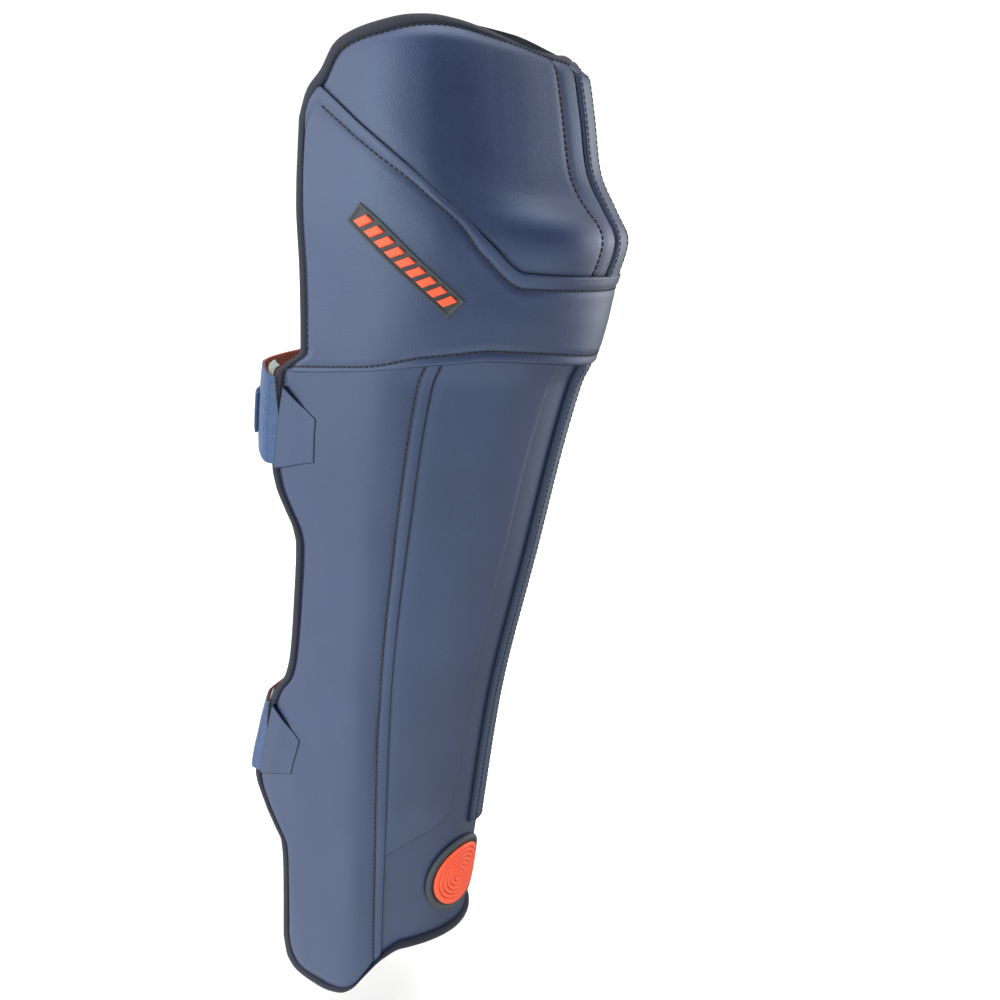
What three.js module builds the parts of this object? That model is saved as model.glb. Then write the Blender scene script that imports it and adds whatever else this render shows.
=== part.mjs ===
import * as THREE from 'three';

// A batting pad as worn on the right leg: a padded shell bent round the shin and knee,
// faced with sewn panels, bound along its edge and held by two elastic straps.
// Millimetres, +Z up. The front faces -Y and the outer side of the leg is at -X.
// The origin lies on the leg's axis, level with the most forward point of the knee.

// Overall sizes
const HEIGHT = 578;
const KNEE_HALF_WIDTH = 90;
const KNEE_REACH = 112;
const REAR_REACH = 66;

// Thicknesses
const FRONT_PADDING = 16;
const WING_PADDING = 8;
const EDGE_PADDING = 4.5;
const PADDING_TAPER = 26;
const FACING = 2.2;
const BAND_FACING = 3.6;
const STRIP_FACING = 3.6;
const CLEARANCE = 0.3;
const LAYER_GAP = 0.7;
const KNEE_SEAT = 0.4;

// Edge binding
const BINDING_WIDTH = 6;
const BINDING_PROUD = 0.6;
const BINDING_ROUND = 1;
const EDGE_GAP = 0.95;
const PANEL_MARGIN = 1.7;

// Rows of the solids, closer together over the knee
const ROW_LEAST = 4;
const KNEE_ROW = 13;
const BAND_ROW = 22;
const SHIN_ROW = 45;
const KNEE_FROM = -0.13;

// Centre strips
const KNEE_STRIP_WIDTH = 20;
const SHIN_STRIP_WIDTH = 15;
const STRIP_GROOVE = 1.4;

// Relief of the knee
const FACE_CUT = 4.2;
const SIDE_FULLNESS = 5.2;
const SHELF_SWELL = 3.5;
const RIM_LEAN = 3.5;
const LEAN_WIDTH = 12;

// Badges
const DISC_WIDTH = 51;
const DISC_RIM = 4;
const DISC_BASE = 2.4;
const DISC_RELIEF = 1.1;
const BAR_LENGTH = 69;
const BAR_WIDTH = 12;
const BAR_BASE = 1.6;
const BAR_RIB_COUNT = 9;
const BAR_RIB_WIDTH = 4.2;
const BAR_RELIEF = 1.2;

// Straps
const STRAP_WIDTH = 50;
const STRAP_THICKNESS = 1.8;
const STRAP_TUCK = 12;
const BACK_RISE = 6;
const STRAP_SEAT = 0.45;
const STRAP_SQUARE = 0.8;
const TUCK_FROM = 0.84;
const END_SPAN = { from: -0.66, to: -0.12 };
const END_LOW = -14;
const END_HIGH = 9;
const TAB_THICKNESS = 1.2;
const TAB_RAMP = { from: 16, to: 25 };
const HOOK_SPAN = { from: -0.8, to: -0.72 };
const HOOK_HEIGHT = 14;
const HOOK_THICKNESS = 1.6;
const HOOK_RISE = 6;
const HOOK_GAP = 1;

// Sections of the outer form. rise is a share of HEIGHT from the knee, width of
// KNEE_HALF_WIDTH, front of KNEE_REACH, and keel flattens the two faces beside the nose.
const SECTIONS = [
  { rise: -0.84, width: 0.67, front: 0.485, keel: 0.3 },
  { rise: -0.77, width: 0.685, front: 0.49, keel: 0.3 },
  { rise: -0.63, width: 0.71, front: 0.524, keel: 0.3 },
  { rise: -0.49, width: 0.766, front: 0.568, keel: 0.3 },
  { rise: -0.32, width: 0.862, front: 0.697, keel: 0.27 },
  { rise: -0.138, width: 0.98, front: 0.85, keel: 0.2 },
  { rise: -0.104, width: 0.99, front: 0.912, keel: 0.12 },
  { rise: -0.035, width: 1, front: 0.966, keel: 0.05 },
  { rise: 0, width: 1.005, front: 1, keel: 0.03 },
  { rise: 0.026, width: 1, front: 0.93, keel: 0.03 },
  { rise: 0.061, width: 0.99, front: 0.83, keel: 0.05 },
  { rise: 0.112, width: 0.967, front: 0.769, keel: 0.08 },
  { rise: 0.156, width: 0.933, front: 0.704, keel: 0.08 },
  { rise: 0.187, width: 0.89, front: 0.58, keel: 0.08 },
];

// Rear edge of both wings. reach is a share of REAR_REACH behind the leg's axis.
const REAR_EDGE = [
  { rise: -0.775, reach: 0.62 },
  { rise: -0.683, reach: 0.65 },
  { rise: -0.657, reach: 0.68 },
  { rise: -0.642, reach: 0.76 },
  { rise: -0.62, reach: 0.88 },
  { rise: -0.585, reach: 1 },
  { rise: -0.54, reach: 0.925 },
  { rise: -0.481, reach: 0.77 },
  { rise: -0.457, reach: 0.64 },
  { rise: -0.433, reach: 0.59 },
  { rise: -0.375, reach: 0.545 },
  { rise: -0.311, reach: 0.515 },
  { rise: -0.294, reach: 0.545 },
  { rise: -0.277, reach: 0.62 },
  { rise: -0.254, reach: 0.71 },
  { rise: -0.235, reach: 0.74 },
  { rise: -0.142, reach: 0.68 },
  { rise: -0.131, reach: 0.58 },
  { rise: -0.118, reach: 0.45 },
  { rise: -0.055, reach: 0.47 },
  { rise: 0.024, reach: 0.53 },
  { rise: 0.09, reach: 0.56 },
];

// Top rim and lower edge. round is the share of the way from the front to the rear edge.
const RIM = [
  { round: 0, rise: 0.161 },
  { round: 0.12, rise: 0.167 },
  { round: 0.26, rise: 0.175 },
  { round: 0.49, rise: 0.178 },
  { round: 0.6, rise: 0.175 },
  { round: 0.73, rise: 0.166 },
  { round: 0.85, rise: 0.155 },
  { round: 0.89, rise: 0.147 },
  { round: 0.93, rise: 0.127 },
  { round: 0.98, rise: 0.109 },
  { round: 1, rise: 0.086 },
];
const LOWER_EDGE = [
  { round: 0, rise: -0.764 },
  { round: 0.3, rise: -0.766 },
  { round: 0.37, rise: -0.775 },
  { round: 0.46, rise: -0.799 },
  { round: 0.51, rise: -0.813 },
  { round: 0.57, rise: -0.82 },
  { round: 0.66, rise: -0.822 },
  { round: 0.79, rise: -0.818 },
  { round: 0.9, rise: -0.811 },
  { round: 0.967, rise: -0.798 },
  { round: 1, rise: -0.775 },
];

// Seams. around is 0 at the front and 1 where the wall runs straight back.
const KNEE_SEAM = [
  { around: 0, rise: -0.028 },
  { around: 0.45, rise: -0.028 },
  { around: 0.6, rise: -0.003 },
  { around: 0.7, rise: 0.023 },
  { around: 0.85, rise: 0.059 },
  { around: 1.05, rise: 0.093 },
  { around: 1.2, rise: 0.114 },
  { around: 1.4, rise: 0.14 },
];
const BAND_HEM = [
  { around: 0, rise: -0.117 },
  { around: 0.5, rise: -0.111 },
  { around: 0.65, rise: -0.116 },
  { around: 1, rise: -0.131 },
  { around: 1.5, rise: -0.146 },
];
const WING_SEAM = [
  { rise: -0.84, around: 0.6 },
  { rise: -0.63, around: 0.656 },
  { rise: -0.385, around: 0.687 },
  { rise: -0.22, around: 0.667 },
  { rise: -0.11, around: 0.654 },
];
const SHIN_PANEL_FRONT = [
  { rise: -0.64, around: 0.27 },
  { rise: -0.55, around: 0.235 },
  { rise: -0.32, around: 0.221 },
  { rise: -0.11, around: 0.192 },
];
const SHIN_PANEL_FOOT = [
  { around: 0.2, rise: -0.606 },
  { around: 0.27, rise: -0.61 },
  { around: 0.34, rise: -0.62 },
  { around: 0.49, rise: -0.633 },
  { around: 0.7, rise: -0.652 },
];

// The knee's front face and slanting side face, cut in shares of FACE_CUT.
const KNEE_FACES = [
  { around: 0.07, cut: 0 },
  { around: 0.3, cut: 1 },
  { around: 0.41, cut: 0.82 },
  { around: 0.52, cut: 0.42 },
  { around: 0.64, cut: 0.06 },
  { around: 0.77, cut: 0 },
];
// The fullness of the sides in shares of SIDE_FULLNESS, and its strength at each height.
const FULLNESS = [
  { around: 0.5, full: 0 },
  { around: 0.64, full: 0.3 },
  { around: 0.77, full: 0.83 },
  { around: 0.9, full: 1 },
  { around: 1.3, full: 0 },
];
const FULLNESS_DOWN = [
  { rise: -0.3, strength: 0 },
  { rise: -0.09, strength: 0.5 },
  { rise: 0.02, strength: 1 },
];
const SHELF = { around: 0.33, spread: 0.2, tall: 0.04, top: 0.045, drop: 0.032 };

// Straps: middle height in shares of HEIGHT, and how far back the loop swings in
// shares of REAR_REACH.
const STRAPS = [
  { name: 'calf_strap', rise: -0.189, beyond: 0.333, tab: 'calf_tab', tilt: 0.07, high: 0.41 },
  { name: 'ankle_strap', rise: -0.537, beyond: 0.07, tab: 'ankle_tab', tilt: -0.045, high: 0.48 },
];
// Shape of the sewn tabs in shares of STRAP_WIDTH: border and front are measured in from
// the rear edge, corner, high and low up from the strap's middle, and the lower edge
// climbs by foot for each step forwards.
const TAB_SHAPE = { border: 0.106, front: 0.586, corner: 0.11, low: -0.56, foot: 0.3 };
const TAB_LEVELS = [0, 0.33, 0.655, 0.83, 1];
// Middle of each badge on the outer side.
const DISC_PLACE = { around: -0.125, rise: -0.69 };
const BAR_PLACE = { around: -0.825, rise: -0.027, slope: -0.68 };

const COLOURS = {
  leather: [0x3f4d68, 0.55],
  binding: [0x1f2a40, 0.8],
  shell: [0x3a4660, 0.6],
  strap: [0x39618f, 0.85],
  orange: [0xf0542a, 0.55],
  rubber: [0x4a565c, 0.7],
  hook: [0xa9b3ad, 0.9],
};

function mix(a, b, t) {
  return a + (b - a) * t;
}

function smooth(t) {
  const s = Math.min(Math.max(t, 0), 1);
  return s * s * (3 - 2 * s);
}

// Smooth curve through a table's rows that never overshoots them.
function glide(rows, from, to, at) {
  const last = rows.length - 1;
  if (at <= rows[0][from]) return rows[0][to];
  if (at >= rows[last][from]) return rows[last][to];
  let i = 0;
  while (at > rows[i + 1][from]) i += 1;
  const slope = (j) => (rows[j + 1][to] - rows[j][to]) / (rows[j + 1][from] - rows[j][from]);
  const bend = (j) => {
    if (j === 0) return slope(0);
    if (j === last) return slope(last - 1);
    const a = slope(j - 1);
    const b = slope(j);
    return a * b <= 0 ? 0 : (2 * a * b) / (a + b);
  };
  const span = rows[i + 1][from] - rows[i][from];
  const t = (at - rows[i][from]) / span;
  const t2 = t * t;
  const t3 = t2 * t;
  return (2 * t3 - 3 * t2 + 1) * rows[i][to] + (t3 - 2 * t2 + t) * span * bend(i)
    + (3 * t2 - 2 * t3) * rows[i + 1][to] + (t3 - t2) * span * bend(i + 1);
}

const section = (z, column) => glide(SECTIONS, 'rise', column, z / HEIGHT);

// Length of wall for one step of around behind the side.
function wallStep(z) {
  return KNEE_REACH * section(z, 'front') * (1 - section(z, 'keel')) * Math.PI / 2;
}

function rearAround(z) {
  return 1 + REAR_REACH * glide(REAR_EDGE, 'rise', 'reach', z / HEIGHT) / wallStep(z);
}

// The outer form: half an ellipse drawn in beside the nose, then walls that run back.
function form(around, z) {
  const side = KNEE_HALF_WIDTH * section(z, 'width');
  const front = KNEE_REACH * section(z, 'front');
  const keel = section(z, 'keel');
  const a = Math.abs(around);
  const turn = Math.min(a, 1) * Math.PI / 2;
  const behind = Math.max(a - 1, 0);
  const x = side * Math.sin(turn) * (1 - 0.12 * behind * behind);
  const y = -front * Math.cos(turn) * (1 - keel * Math.sin(turn) ** 2) + behind * wallStep(z);
  return new THREE.Vector3(Math.sign(around) * x, y, z);
}

function outward(around, z) {
  const across = form(around + 0.002, z).sub(form(around - 0.002, z));
  const up = form(around, z + 0.5).sub(form(around, z - 0.5));
  return across.cross(up).normalize();
}

// 0 below 0, 1 above 1 and a smooth step between.
function ease(t) {
  const s = Math.min(Math.max(t, 0), 1);
  return s * s * (3 - 2 * s);
}

// Push along the outward direction: the knee's flattened faces, the fullness of its
// sides, a swell on the kneecap's shoulder that starts as a shelf, and the lean of the
// last stretch under the rim.
function relief(around, z) {
  const a = Math.abs(around);
  const share = z / HEIGHT;
  const faces = -FACE_CUT * glide(KNEE_FACES, 'around', 'cut', a) * ease(share / 0.04);
  const fullness = SIDE_FULLNESS * glide(FULLNESS, 'around', 'full', a)
    * glide(FULLNESS_DOWN, 'rise', 'strength', share);
  const du = (a - SHELF.around) / SHELF.spread;
  const dz = Math.min(share, 0) / SHELF.tall;
  const shelf = SHELF_SWELL * Math.exp(-du * du - dz * dz) * ease((SHELF.top - share) / SHELF.drop);
  const bent = Math.max(1 - (rimInset(0)(around, z) - z) / LEAN_WIDTH, 0);
  const lean = -RIM_LEAN * bent * bent / (bent + 0.12) * ease((1.1 - a) / 0.4);
  return faces + fullness + shelf + lean;
}

// A point at a height above the outer form.
function above(around, z, height) {
  return form(around, z).addScaledVector(outward(around, z), height + relief(around, z));
}

// Edges set in from the outline by a width.
const rearInset = (inset) => (z) => rearAround(z) - inset / wallStep(z);
const rimInset = (inset) => (around, z) => HEIGHT
  * glide(RIM, 'round', 'rise', Math.min(Math.abs(around) / rearInset(inset)(z), 1)) - inset;
const lowerInset = (inset) => (around, z) => HEIGHT
  * glide(LOWER_EDGE, 'round', 'rise', Math.min(Math.abs(around) / rearInset(inset)(z), 1)) + inset;

function edgeDistance(around, z) {
  const rear = (rearAround(z) - Math.abs(around)) * wallStep(z);
  return Math.min(rear, rimInset(0)(around, z) - z, z - lowerInset(0)(around, z));
}

// Thickness of the padding: full at the front, thinner on the wings, thin at the edge.
function padding(around, z) {
  const front = smooth((0.8 - Math.abs(around)) / 0.5);
  const full = mix(WING_PADDING, FRONT_PADDING, front);
  return mix(EDGE_PADDING, full, smooth(edgeDistance(around, z) / PADDING_TAPER));
}

// One height on an edge that is itself told by around and height.
function settle(edge, near, far, share, start) {
  let z = start;
  for (let i = 0; i < 8; i += 1) z = edge(mix(near(z), far(z), share), z);
  return z;
}

// A closed slab over a grid of columns and rows, from its outer and inner points.
function slab(columns, rows, outer, inner) {
  const positions = [];
  const index = [];
  const wide = columns + 1;
  const layer = wide * (rows + 1);
  for (const point of [outer, inner]) {
    for (let r = 0; r <= rows; r += 1) {
      for (let c = 0; c <= columns; c += 1) positions.push(...point(c, r).toArray());
    }
  }
  // Each face is split along the diagonal that mirrors its twin's on the other side.
  const quad = (a, b, c, d) => {
    const left = positions[3 * a] + positions[3 * c] < 0;
    index.push(...(left ? [a, b, d, b, c, d] : [a, b, c, a, c, d]));
  };
  const at = (c, r, side) => side * layer + r * wide + c;
  for (let r = 0; r < rows; r += 1) {
    for (let c = 0; c < columns; c += 1) {
      quad(at(c, r, 0), at(c + 1, r, 0), at(c + 1, r + 1, 0), at(c, r + 1, 0));
      quad(at(c, r + 1, 1), at(c + 1, r + 1, 1), at(c + 1, r, 1), at(c, r, 1));
    }
    quad(at(0, r, 1), at(0, r, 0), at(0, r + 1, 0), at(0, r + 1, 1));
    quad(at(columns, r, 0), at(columns, r, 1), at(columns, r + 1, 1), at(columns, r + 1, 0));
  }
  for (let c = 0; c < columns; c += 1) {
    quad(at(c, 0, 1), at(c + 1, 0, 1), at(c + 1, 0, 0), at(c, 0, 0));
    quad(at(c, rows, 0), at(c + 1, rows, 0), at(c + 1, rows, 1), at(c, rows, 1));
  }
  const geometry = new THREE.BufferGeometry();
  geometry.setAttribute('position', new THREE.Float32BufferAttribute(positions, 3));
  geometry.setIndex(index);
  geometry.computeVertexNormals();
  return geometry;
}

// A sewn panel: a slab between two upright and two lying edges, at a height on the form.
function panel({ near, far, low, high, columns, rows, top, bottom, levels }) {
  const grid = [];
  for (let c = 0; c <= columns; c += 1) {
    const share = c / columns;
    const zLow = settle(low, near, far, share, -HEIGHT / 2);
    const zHigh = settle(high, near, far, share, 0);
    grid.push((r) => {
      const z = mix(zLow, zHigh, levels ? levels[r] : r / rows);
      return [mix(near(z), far(z), share), z];
    });
  }
  const place = (height) => (c, r) => {
    const [around, z] = grid[c](r);
    return height(around, z);
  };
  return slab(columns, rows, place(top), place(bottom));
}

// Rows between two heights that fall on the rows of both tables, with one more
// wherever two of them lie further apart than a step.
function edgeLevels(low, high, step) {
  const rises = [...REAR_EDGE, ...SECTIONS].map((row) => row.rise * HEIGHT);
  const inside = rises.filter((z) => z > low + ROW_LEAST && z < high - ROW_LEAST);
  const heights = [];
  for (const z of [low, ...inside.sort((a, b) => a - b), high]) {
    const before = heights.at(-1);
    if (before !== undefined && z !== high && z - before < ROW_LEAST) continue;
    const parts = before === undefined ? 1 : Math.ceil((z - before) / step(z));
    for (let i = 1; i <= parts; i += 1) heights.push(before === undefined ? z : mix(before, z, i / parts));
  }
  return heights.map((z) => (z - low) / (high - low));
}
const rowStep = (z) => (z > HEIGHT * KNEE_FROM ? KNEE_ROW : SHIN_ROW);

const pad = new THREE.Group();

function add(name, geometry, colour) {
  const [color, roughness] = COLOURS[colour];
  const mesh = new THREE.Mesh(
    geometry,
    new THREE.MeshStandardMaterial({ color, roughness, metalness: 0 }),
  );
  mesh.name = name;
  pad.add(mesh);
}

const SIDES = [{ word: 'outer', sign: -1 }, { word: 'inner', sign: 1 }];
// Mirrors a pair of upright edges so that the near edge stays at the smaller around.
function sided(sign, near, far) {
  return sign > 0
    ? { near, far }
    : { near: (z) => -far(z), far: (z) => -near(z) };
}

const SHELL_SEAT = BINDING_WIDTH + EDGE_GAP;
const EDGE_SEAT = BINDING_WIDTH + PANEL_MARGIN;
const OUTLINE_COLUMNS = 24;
const seatRear = rearInset(EDGE_SEAT);
const seatRim = rimInset(EDGE_SEAT);
const seatLower = lowerInset(EDGE_SEAT);
const shellLow = HEIGHT * LOWER_EDGE.at(-1).rise + SHELL_SEAT;
const shellHigh = HEIGHT * RIM.at(-1).rise - SHELL_SEAT;
const shellLevels = edgeLevels(shellLow, shellHigh, rowStep);
const inside = (depth) => (around, z) => form(around, z)
  .addScaledVector(outward(around, z), -padding(around, z) - depth);
const over = (height) => (around, z) => above(around, z, height);

// The shell lies a little deeper under the knee's panels, where they bend most.
const seatDepth = (z) => KNEE_SEAT * smooth((z / HEIGHT - KNEE_FROM) / 0.03);

// The padded shell: its outer face shows in the gutter beside the strip and at the instep.
add('padded_shell', panel({
  near: (z) => -rearInset(SHELL_SEAT)(z),
  far: rearInset(SHELL_SEAT),
  low: lowerInset(SHELL_SEAT),
  high: rimInset(SHELL_SEAT),
  columns: OUTLINE_COLUMNS,
  rows: shellLevels.length - 1,
  levels: shellLevels,
  top: (around, z) => above(around, z, -seatDepth(z)),
  bottom: inside(0),
}), 'shell');

// The binding runs once round the whole outline and covers every layer's edge.
function outline(inset, steps, upright) {
  const rear = rearInset(inset);
  const edge = (lying, share) => {
    const z = settle(lying, (h) => -rear(h), rear, (share + 1) / 2, -HEIGHT / 3);
    return [share * rear(z), z];
  };
  const low = (share) => edge(lowerInset(inset), share);
  const high = (share) => edge(rimInset(inset), share);
  const points = [];
  const lowCorner = low(1)[1];
  const highCorner = high(1)[1];
  for (let i = 0; i < steps; i += 1) points.push(low(mix(-1, 1, i / steps)));
  points.push([rear(lowCorner), lowCorner]);
  for (const z of upright) points.push([rear(z), z]);
  for (let i = 0; i < steps; i += 1) points.push(high(mix(1, -1, i / steps)));
  points.push([-rear(highCorner), highCorner]);
  for (const z of [...upright].reverse()) points.push([-rear(z), z]);
  return points;
}

function bindingGeometry() {
  const upright = shellLevels.slice(1, -1).map((level) => mix(shellLow, shellHigh, level));
  const outer = outline(0, OUTLINE_COLUMNS, upright);
  const inner = outline(BINDING_WIDTH, OUTLINE_COLUMNS, upright);
  const proud = FACING + LAYER_GAP + BINDING_PROUD;
  const under = BINDING_PROUD;
  const positions = [];
  const index = [];
  const count = outer.length;
  for (let i = 0; i < count; i += 1) {
    const [ga, za] = outer[i];
    const [gb, zb] = inner[i];
    const ring = [
      above(gb, zb, proud),
      above(ga, za, proud - BINDING_ROUND),
      inside(under - BINDING_ROUND)(ga, za),
      inside(under)(gb, zb),
    ];
    for (const point of ring) positions.push(...point.toArray());
  }
  const size = 4;
  for (let i = 0; i < count; i += 1) {
    const j = (i + 1) % count;
    for (let k = 0; k < size; k += 1) {
      const m = (k + 1) % size;
      const [a, b, c, d] = [i * size + k, i * size + m, j * size + m, j * size + k];
      const left = positions[3 * a] + positions[3 * c] < 0;
      index.push(...(left ? [a, b, c, a, c, d] : [a, b, d, b, c, d]));
    }
  }
  const geometry = new THREE.BufferGeometry();
  geometry.setAttribute('position', new THREE.Float32BufferAttribute(positions, 3));
  geometry.setIndex(index);
  geometry.computeVertexNormals();
  return geometry;
}
add('edge_binding', bindingGeometry(), 'binding');

// Facing panels
const faceBottom = over(LAYER_GAP);
const faceTop = over(LAYER_GAP + FACING);
const lift = LAYER_GAP * 0.9;
const kneeSeam = (around) => HEIGHT * glide(KNEE_SEAM, 'around', 'rise', Math.abs(around));
const bandHem = (around) => HEIGHT * glide(BAND_HEM, 'around', 'rise', Math.abs(around));
const wingSeam = (z) => glide(WING_SEAM, 'rise', 'around', z / HEIGHT);
const panelFront = (z) => glide(SHIN_PANEL_FRONT, 'rise', 'around', z / HEIGHT);
const panelFoot = (around) => HEIGHT * glide(SHIN_PANEL_FOOT, 'around', 'rise', Math.abs(around));
const beside = (width) => (z) => Math.asin(width / 2 / (KNEE_HALF_WIDTH * section(z, 'width')))
  / (Math.PI / 2);
const shift = (edge, millimetres) => (z) => edge(z) + millimetres / wallStep(z);
const kneePanelRear = 1.14;
const SHIN_ROWS = 13;
const shinLevels = Array.from({ length: SHIN_ROWS + 1 }, (_, i) => 1 - (1 - i / SHIN_ROWS) ** 1.7);

for (const { word, sign } of SIDES) {
  const wing = sided(sign, shift(wingSeam, lift), seatRear);
  const low = settle(seatLower, wing.near, wing.far, sign > 0 ? 1 : 0, -HEIGHT / 2);
  const high = settle((a) => bandHem(a) - lift, wing.near, wing.far, sign > 0 ? 1 : 0, 0);
  const levels = edgeLevels(low, high, rowStep);
  add(`wing_${word}`, panel({
    ...wing,
    low: seatLower,
    high: (around) => bandHem(around) - lift,
    columns: 8,
    rows: levels.length - 1,
    levels,
    top: faceTop,
    bottom: faceBottom,
  }), 'leather');

  add(`shin_panel_${word}`, panel({
    ...sided(sign, panelFront, shift(wingSeam, -lift)),
    low: panelFoot,
    high: (around) => bandHem(around) - lift,
    columns: 8,
    rows: SHIN_ROWS,
    levels: shinLevels,
    top: faceTop,
    bottom: faceBottom,
  }), 'leather');

  add(`knee_panel_${word}`, panel({
    ...sided(sign, shift(beside(KNEE_STRIP_WIDTH), STRIP_GROOVE), () => kneePanelRear),
    low: (around) => kneeSeam(around) + lift,
    high: seatRim,
    columns: 13,
    rows: 12,
    top: faceTop,
    bottom: faceBottom,
  }), 'leather');
}

// The band crosses the front below the kneecap and widens to the rear edge on each side.
const bandTop = (around, z) => Math.min(kneeSeam(around) - lift, seatRim(around, z));
const bandLow = (around) => bandHem(around) + lift;
const bandLevels = edgeLevels(
  settle(bandLow, () => 0, seatRear, 1, 0),
  settle(bandTop, () => 0, seatRear, 1, 0),
  () => BAND_ROW,
);
add('knee_band', panel({
  near: (z) => -seatRear(z),
  far: seatRear,
  low: bandLow,
  high: bandTop,
  columns: 28,
  rows: bandLevels.length - 1,
  levels: bandLevels,
  top: over(LAYER_GAP + BAND_FACING),
  bottom: faceBottom,
}), 'leather');

// Raised strips down the middle of the knee and of the shin.
add('knee_strip', panel({
  near: (z) => -beside(KNEE_STRIP_WIDTH)(z),
  far: beside(KNEE_STRIP_WIDTH),
  low: (around) => kneeSeam(around) + lift,
  high: seatRim,
  columns: 2,
  rows: 10,
  top: over(LAYER_GAP + STRIP_FACING),
  bottom: faceBottom,
}), 'leather');
const STRIP_FOOT = -0.632;
add('shin_strip', panel({
  near: (z) => -beside(SHIN_STRIP_WIDTH)(z),
  far: beside(SHIN_STRIP_WIDTH),
  low: () => HEIGHT * STRIP_FOOT,
  high: (around) => bandHem(around) - lift,
  columns: 2,
  rows: SHIN_ROWS,
  levels: shinLevels,
  top: over(LAYER_GAP + STRIP_FACING),
  bottom: faceBottom,
}), 'leather');

// Maps a flat patch's millimetres, x round the leg and y up, onto the form.
function onForm(place, height) {
  const z0 = HEIGHT * place.rise;
  const turn = place.turn ?? 0;
  return (x, y) => {
    const z = z0 + x * Math.sin(turn) + y * Math.cos(turn);
    const run = x * Math.cos(turn) - y * Math.sin(turn);
    let around = place.around;
    const steps = 8;
    for (let i = 0; i < steps; i += 1) {
      const stride = form(around + 0.002, z).distanceTo(form(around - 0.002, z)) / 0.004;
      around += run / steps / stride;
    }
    return above(around, z, height);
  };
}

// A round slab on the form, made of rings about its middle.
function discGeometry(place, inner, outer, low, high, rings, spokes) {
  const top = onForm(place, high);
  const bottom = onForm(place, low);
  const polar = (ring, spoke) => {
    const radius = mix(inner, outer, ring / rings);
    const angle = (spoke / spokes) * Math.PI * 2;
    return [radius * Math.cos(angle), radius * Math.sin(angle)];
  };
  const positions = [];
  const index = [];
  const solid = inner === 0;
  const layers = [top, bottom];
  const starts = [];
  for (const layer of layers) {
    starts.push(positions.length / 3);
    if (solid) positions.push(...layer(0, 0).toArray());
    for (let r = solid ? 1 : 0; r <= rings; r += 1) {
      for (let s = 0; s < spokes; s += 1) positions.push(...layer(...polar(r, s)).toArray());
    }
  }
  const ringCount = solid ? rings : rings + 1;
  const at = (layer, ring, spoke) => starts[layer] + (solid ? 1 : 0) + ring * spokes
    + (spoke % spokes);
  for (let s = 0; s < spokes; s += 1) {
    if (solid) {
      index.push(starts[0], at(0, 0, s), at(0, 0, s + 1));
      index.push(starts[1], at(1, 0, s + 1), at(1, 0, s));
    } else {
      index.push(at(0, 0, s), at(0, 0, s + 1), at(1, 0, s + 1));
      index.push(at(0, 0, s), at(1, 0, s + 1), at(1, 0, s));
    }
    for (let r = 0; r < ringCount - 1; r += 1) {
      index.push(at(0, r, s), at(0, r + 1, s), at(0, r + 1, s + 1));
      index.push(at(0, r, s), at(0, r + 1, s + 1), at(0, r, s + 1));
      index.push(at(1, r, s), at(1, r + 1, s + 1), at(1, r + 1, s));
      index.push(at(1, r, s), at(1, r, s + 1), at(1, r + 1, s + 1));
    }
    const rim = ringCount - 1;
    index.push(at(0, rim, s), at(1, rim, s), at(1, rim, s + 1));
    index.push(at(0, rim, s), at(1, rim, s + 1), at(0, rim, s + 1));
  }
  const geometry = new THREE.BufferGeometry();
  geometry.setAttribute('position', new THREE.Float32BufferAttribute(positions, 3));
  geometry.setIndex(index);
  geometry.computeVertexNormals();
  return geometry;
}

// Round rubber badge on the instep: a grey dish with a raised orange ring and boss.
const discBase = LAYER_GAP;
add('badge_disc', discGeometry(
  DISC_PLACE, 0, DISC_WIDTH / 2, discBase, discBase + DISC_BASE, 2, 24,
), 'rubber');
add('badge_disc_relief', discGeometry(
  DISC_PLACE, 0, DISC_WIDTH / 2 - DISC_RIM, discBase + DISC_BASE + CLEARANCE,
  discBase + DISC_BASE + CLEARANCE + DISC_RELIEF, 2, 24,
), 'orange');

// Slanted bar badge on the outer side, with a row of slanted orange ribs.
const barPlace = { ...BAR_PLACE, turn: BAR_PLACE.slope };
const barBase = LAYER_GAP + BAND_FACING + CLEARANCE;
const barTop = barBase + BAR_BASE;
const barPatch = (x0, x1, y0, y1, low, high, columns, rows, lean) => {
  const top = onForm(barPlace, high);
  const bottom = onForm(barPlace, low);
  const spot = (surface) => (c, r) => {
    const y = mix(y0, y1, r / rows);
    return surface(mix(x0, x1, c / columns) + lean * y, y);
  };
  return slab(columns, rows, spot(top), spot(bottom));
};
add('badge_bar', barPatch(
  -BAR_LENGTH / 2, BAR_LENGTH / 2, -BAR_WIDTH / 2, BAR_WIDTH / 2, barBase, barTop, 12, 3, 0,
), 'rubber');
for (let i = 0; i < BAR_RIB_COUNT; i += 1) {
  const middle = mix(-0.5, 0.5, (i + 0.5) / BAR_RIB_COUNT) * (BAR_LENGTH - BAR_WIDTH / 2);
  add(`badge_bar_rib_${i + 1}`, barPatch(
    middle - BAR_RIB_WIDTH / 2, middle + BAR_RIB_WIDTH / 2, -BAR_WIDTH * 0.28, BAR_WIDTH * 0.28,
    barTop + CLEARANCE, barTop + CLEARANCE + BAR_RELIEF, 1, 2, 0.45,
  ), 'orange');
}

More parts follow.
